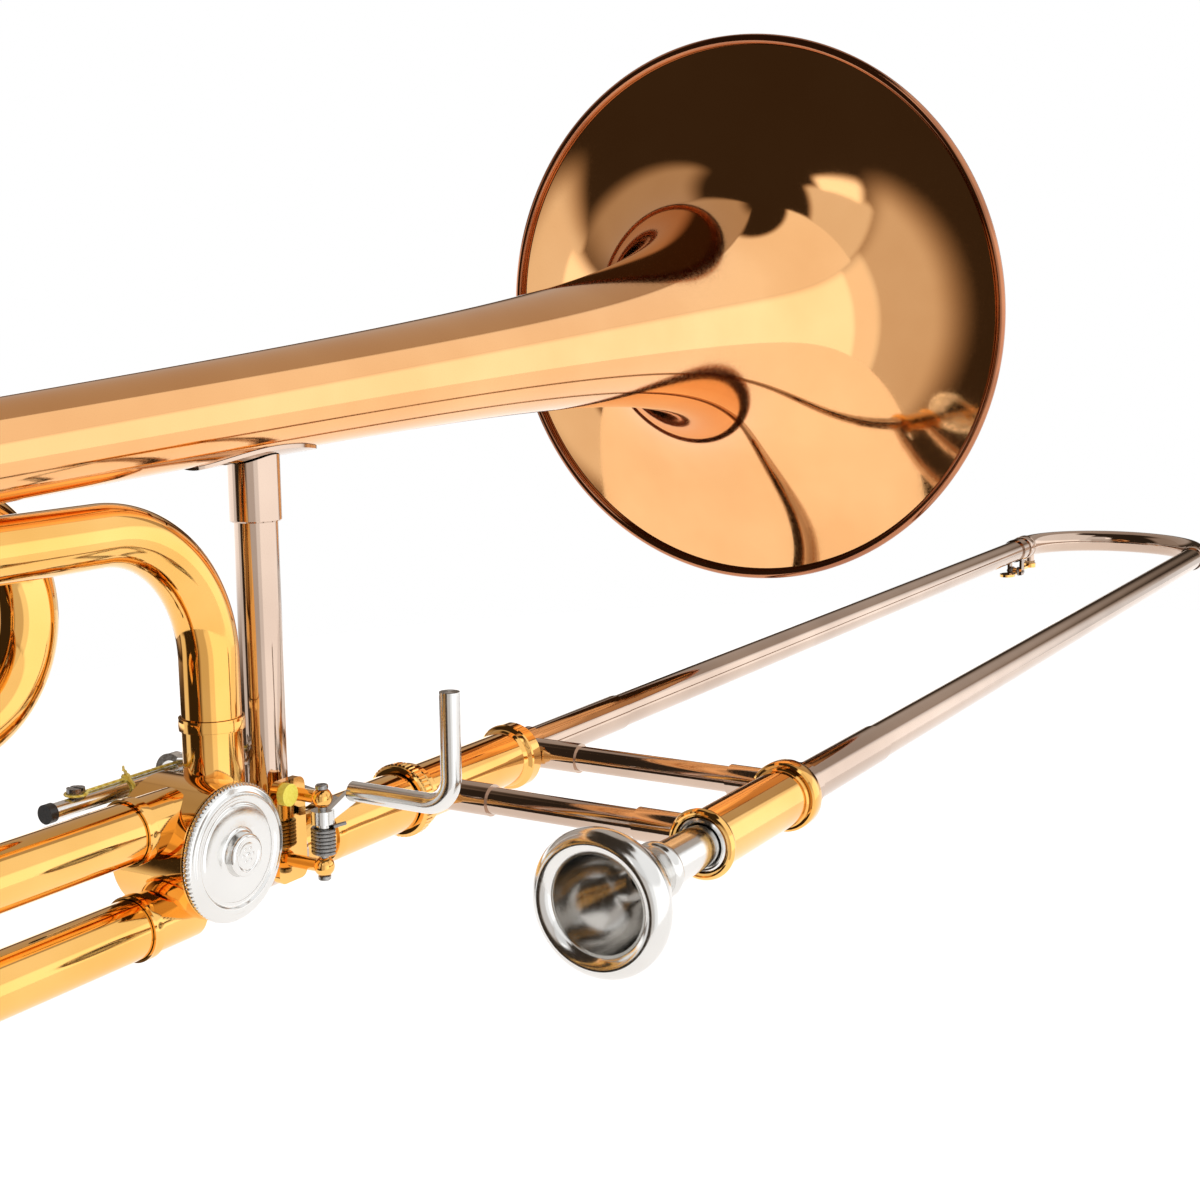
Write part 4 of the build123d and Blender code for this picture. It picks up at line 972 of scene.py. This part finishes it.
def slotted_head(centre, direction):
    """Round screw head whose crown has a straight driver slot."""
    ahead, side, up = frame_of(direction)
    base = Vector(centre)
    rings = [(0.0, HEAD_RADIUS), (HEAD_SIDE, HEAD_RADIUS), (HEAD_HEIGHT, HEAD_CROWN)]
    verts, faces = lathe(centre, direction, rings, HEAD_STEPS)
    faces = faces[:-HEAD_STEPS]
    crown = sorted(range(2 * HEAD_STEPS, 3 * HEAD_STEPS), key=lambda index: (verts[index] - base).dot(side))
    heights = {index: (verts[index] - base).dot(up) for index in crown}
    reach = math.sqrt(HEAD_CROWN**2 - (SLOT / 2) ** 2)

    def half(sign):
        """Flat of the crown on one side of the slot, and that side of the slot."""
        row = [index for index in crown if sign * heights[index] > SLOT / 2]
        start = len(verts)
        for level in (HEAD_HEIGHT, SLOT_FLOOR):
            for across in (-reach, reach):
                verts.append(base + ahead * level + side * across + up * (sign * SLOT / 2))
        faces.append((start, *row, start + 1))
        faces.append((start, start + 1, start + 3, start + 2))
        return start, row

    low, low_row = half(-1)
    high, high_row = half(1)
    faces.append((low + 2, low + 3, high + 3, high + 2))
    for end, sign in ((0, -1), (1, 1)):
        beyond = [index for index in crown if abs(heights[index]) <= SLOT / 2]
        beyond = [index for index in beyond if (verts[index] - base).dot(side) * sign > 0]
        beyond.sort(key=lambda index: heights[index])
        faces.append((low + end, low_row[-end], *beyond, high_row[-end], high + end))
        faces.append((low + end, high + end, high + 2 + end, low + 2 + end))
    faces.append(tuple(range(HEAD_STEPS)))
    return verts, faces


heads = (slotted_head(TOP_HEAD, UP), slotted_head(LOW_HEAD, DOWN))
make_piece("hinge_screw_heads", "lever_hinge_rod", *heads, replaced=(), sharp=28.0)

# ---------------------------------------------------------------- linkage string
BAR_X = -18.5
BAR_RADIUS = 2.2
# strands in a cord, rough spacing of points, and a strand's radius and offset as shares of the cord's radius
STRANDS = 3
STRAND_STEP = 0.35
STRAND_RADIUS = 0.55
STRAND_OFFSET = 0.48
plug_low, plug_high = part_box("string_bar_plug")
BAR_Z = (plug_low.z + plug_high.z) / 2 / MM
STRING_TOP_Z = BAR_Z + BAR_RADIUS + 0.5


def strands(route, radius, pitch):
    """Cord laid up from several twisted strands along a route."""
    points = [Vector(p) for p in route]
    dense = []
    for near, far in zip(points, points[1:]):
        parts = max(1, int((far - near).length / STRAND_STEP))
        dense += [near.lerp(far, part / parts) for part in range(parts)]
    dense.append(points[-1])
    last = len(dense) - 1
    walked = 0.0
    _, side, _ = frame_of(dense[1] - dense[0])
    tracks = [[] for _ in range(STRANDS)]
    for index, point in enumerate(dense):
        ahead = (dense[min(index + 1, last)] - dense[max(index - 1, 0)]).normalized()
        side = (side - ahead * side.dot(ahead)).normalized()
        up = ahead.cross(side)
        for strand, track in enumerate(tracks):
            turn = 2 * math.pi * (walked / pitch + strand / STRANDS)
            track.append(point + (side * math.cos(turn) + up * math.sin(turn)) * radius * STRAND_OFFSET)
        if index < last:
            walked += (dense[index + 1] - point).length
    return joined(*[tube(track, radius * STRAND_RADIUS, steps=8) for track in tracks])


FAR_KNOT_Y = -33.0
NEAR_KNOT_Y = 2.0
SCREW_Y = -50.0
LONG_CORD = 0.45
LONG_PITCH = 2.2
KNOT_CORD = 0.4
KNOT_PITCH = 2.0
THIN_CORD = 0.36
HUB_CORD = 0.38
long_run = [
    (BAR_X, -47.6, STRING_TOP_Z - 0.05),
    (BAR_X, FAR_KNOT_Y, STRING_TOP_Z),
    (BAR_X, -15, STRING_TOP_Z),
    (BAR_X, 1.5, STRING_TOP_Z),
]
string_parts = [strands(long_run, LONG_CORD, LONG_PITCH)]
wrap_radius = BAR_RADIUS + 0.45
for knot_y in (FAR_KNOT_Y, NEAR_KNOT_Y):
    wrap_place = (BAR_X, knot_y, BAR_Z)
    wrap = coil(wrap_place, AHEAD, wrap_radius, start=-0.5, end=0.5, turns=2.0, begin=90.0, per_turn=40)
    string_parts.append(strands(wrap, KNOT_CORD, KNOT_PITCH))
knot_place = (BAR_X, FAR_KNOT_Y, STRING_TOP_Z + 0.35)
knot = coil(knot_place, AHEAD, radius=0.62, start=-0.9, end=0.9, turns=2.5, begin=0.0, per_turn=20)
string_parts.append(strands(knot, KNOT_CORD, KNOT_PITCH))
tail_one = [
    (BAR_X, -33.2, STRING_TOP_Z + 0.8),
    (BAR_X + 1.2, -34.0, STRING_TOP_Z + 2.2),
    (BAR_X + 2.0, -35.8, STRING_TOP_Z + 3.2),
]
tail_two = [
    (BAR_X, -32.8, STRING_TOP_Z + 0.8),
    (BAR_X - 1.4, -32.2, STRING_TOP_Z + 2.0),
    (BAR_X - 2.6, -31.2, STRING_TOP_Z + 2.4),
]
loop_place = (BAR_X, SCREW_Y, BAR_Z + BAR_RADIUS + 0.45)
screw_loop = coil(loop_place, UP, radius=2.72, start=-0.1, end=0.4, turns=1.4, begin=-60.0, per_turn=40)
string_parts += [strands(route, THIN_CORD, KNOT_PITCH) for route in (tail_one, tail_two, screw_loop)]
make_piece("braided_string", "linkage_string", *string_parts, sharp=80.0)

# turns of string on the rotor's hub, at the same x as the bar
hub_middle = VALVE + Vector((BAR_X, 0, 0))
hub_turns = coil(hub_middle, RIGHT, radius=10.92, start=-0.7, end=0.7, turns=1.6, begin=40.0, per_turn=60)
hub_shape = strands(hub_turns, HUB_CORD, LONG_PITCH)
make_piece("hub_string", "rotor_hub", hub_shape, look="yellow_string", replaced=(), sharp=80.0)

# ---------------------------------------------------------------- water key spring
KEY_WIRE = 0.28
KEY_PIN = (0, 674.0, -12.6)
key_bridge = [(-1.2, 676.3, -12.0), (-0.6, 681.0, -11.4), (0.6, 681.0, -11.4), (1.2, 676.3, -12.0)]
key_parts = []
for first_x, last_x in ((-2.75, -1.2), (1.2, 2.75)):
    key_coil = coil(KEY_PIN, RIGHT, 2.42, first_x, last_x, turns=2.5, begin=0.0, per_turn=24)
    key_parts.append(tube(key_coil, KEY_WIRE, steps=10))
key_parts.append(tube(key_bridge, KEY_WIRE, steps=10))
make_piece("key_spring", "water_key", *key_parts, look="spring_steel", replaced=(), sharp=28.0)


# ---------------------------------------------------------------- light, floor and camera
# the room's brightness, its colour where it is dim, and the brightness from which it is white
ROOM = 0.04
DIM_COLOUR = (1.0, 0.70, 0.46, 1)
WHITE = (1, 1, 1, 1)
WHITE_FROM = 0.9
# panels, in degrees: azimuth and half width, lowest and highest elevation, edge softness; then brightness
PANELS = (
    (75, 57, 19, 67, 2.5, 1.10),
    (70, 54, -36, 22, 7, 1.58),
    (128, 14, -38, 22, 7, 1.15),
    (-2, 26, -25, 1.5, 2.5, 0.90),
    (146, 18, 20, 52, 3, 0.90),
    (165, 5, 25, 45, 3, 1.60),
    (140, 32, -46, 22, 7, 0.74),
    (-120, 12, -32, 9, 4, 0.95),
    (-86, 28, 8, 54, 8, 0.45),
    (-22, 43, 15, 84, 6, 0.50),
    (-75, 42, -10, 6, 3, 1.50),
    (-80, 22, -38, -16, 5, 0.50),
)


def studio_world():
    """White for the camera; for everything else a dim warm room with soft bright panels."""
    world = bpy.data.worlds.new("studio")
    world.use_nodes = True
    tree = world.node_tree
    tree.nodes.clear()
    links = tree.links
    coords = tree.nodes.new("ShaderNodeTexCoord")

    def math_node(operation, a, b=None):
        node = tree.nodes.new("ShaderNodeMath")
        node.operation = operation
        for socket, value in zip(node.inputs, (a, b)):
            if value is None:
                continue
            if isinstance(value, (int, float)):
                socket.default_value = value
            else:
                links.new(value, socket)
        if operation == "WRAP":
            node.inputs[2].default_value = -b
        return node.outputs[0]

    parts = tree.nodes.new("ShaderNodeSeparateXYZ")
    links.new(coords.outputs["Generated"], parts.inputs[0])
    degree = 180.0 / math.pi
    azimuth = math_node("MULTIPLY", math_node("ARCTAN2", parts.outputs[0], parts.outputs[1]), degree)
    elevation = math_node("MULTIPLY", math_node("ARCSINE", parts.outputs[2]), degree)

    def fade(value, start, end):
        ramp = tree.nodes.new("ShaderNodeMapRange")
        ramp.interpolation_type = "SMOOTHSTEP"
        ramp.inputs["From Min"].default_value = start
        ramp.inputs["From Max"].default_value = end
        links.new(value, ramp.inputs["Value"])
        return ramp.outputs["Result"]

    def panel(middle, half_width, low, high, edge, strength):
        away = math_node("ABSOLUTE", math_node("WRAP", math_node("SUBTRACT", azimuth, middle), 180.0))
        across = fade(away, half_width + edge, half_width - edge)
        above = fade(elevation, low - edge, low + edge)
        below = fade(elevation, high + edge, high - edge)
        inside = math_node("MULTIPLY", across, math_node("MULTIPLY", above, below))
        return math_node("MULTIPLY", inside, strength)

    total = math_node("ADD", 0.0, ROOM)
    for panel_values in PANELS:
        total = math_node("MAXIMUM", total, panel(*panel_values))
    room = tree.nodes.new("ShaderNodeBackground")
    tint = tree.nodes.new("ShaderNodeValToRGB")
    tint.color_ramp.elements[0].color = DIM_COLOUR
    tint.color_ramp.elements[1].color = WHITE
    tint.color_ramp.elements[1].position = WHITE_FROM
    links.new(total, tint.inputs["Fac"])
    links.new(tint.outputs["Color"], room.inputs["Color"])
    links.new(total, room.inputs["Strength"])
    white = tree.nodes.new("ShaderNodeBackground")
    white.inputs["Color"].default_value = WHITE
    white.inputs["Strength"].default_value = 1.0
    path = tree.nodes.new("ShaderNodeLightPath")
    mix = tree.nodes.new("ShaderNodeMixShader")
    output = tree.nodes.new("ShaderNodeOutputWorld")
    links.new(path.outputs["Is Camera Ray"], mix.inputs[0])
    links.new(room.outputs[0], mix.inputs[1])
    links.new(white.outputs[0], mix.inputs[2])
    links.new(mix.outputs[0], output.inputs[0])
    bpy.context.scene.world = world


studio_world()

# sizes of the floor and the camera's place are in metres
FLOOR_RADIUS = 1.25
FLOOR_MIDDLE_Y = 0.85
FLOOR_DROP = 0.25
FLOOR_CORNERS = 90
FLOOR_GLOW = 0.72
floor_material, floor_tree, floor_shader = new_material("floor")
floor_grain = noise(floor_tree, scale=3.0, detail=2.0)
floor_colour = two_tone(floor_tree, floor_grain, (0.90, 0.90, 0.895), (0.92, 0.92, 0.915))
floor_tree.links.new(floor_colour, floor_shader.inputs["Base Color"])
floor_shader.inputs["Roughness"].default_value = 0.8
floor_shader.inputs["Emission Color"].default_value = WHITE
floor_shader.inputs["Emission Strength"].default_value = FLOOR_GLOW
floor_z = cad_box[0][2] - FLOOR_DROP
floor_points = []
for corner in range(FLOOR_CORNERS):
    angle = math.radians(360 / FLOOR_CORNERS * corner)
    floor_y = FLOOR_MIDDLE_Y + FLOOR_RADIUS * math.sin(angle)
    floor_points.append((FLOOR_RADIUS * math.cos(angle), floor_y, floor_z))
floor_mesh = bpy.data.meshes.new("floor")
floor_mesh.from_pydata(floor_points, [], [tuple(range(FLOOR_CORNERS))])
floor = bpy.data.objects.new("floor", floor_mesh)
floor_mesh.materials.append(floor_material)
bpy.context.scene.collection.objects.link(floor)

CAMERA_PLACE = (0.3102, -0.3507, 0.1456)
CAMERA_RIGHT = Vector((0.8638, 0.5038, -0.009))
CAMERA_DOWN = Vector((0.0752, -0.1465, -0.9863))
CAMERA_FORWARD = Vector((-0.4982, 0.8513, -0.1644))
camera_data = bpy.data.cameras.new("camera")
camera_data.sensor_width = 36.0
camera_data.lens = 52.57
camera_data.clip_start = 0.01
camera = bpy.data.objects.new("camera", camera_data)
bpy.context.scene.collection.objects.link(camera)
camera_turn = Matrix((CAMERA_RIGHT, -CAMERA_DOWN, -CAMERA_FORWARD)).transposed()
camera.matrix_world = Matrix.Translation(CAMERA_PLACE) @ camera_turn.to_4x4()
bpy.context.scene.camera = camera
bpy.context.scene.view_settings.view_transform = "Standard"
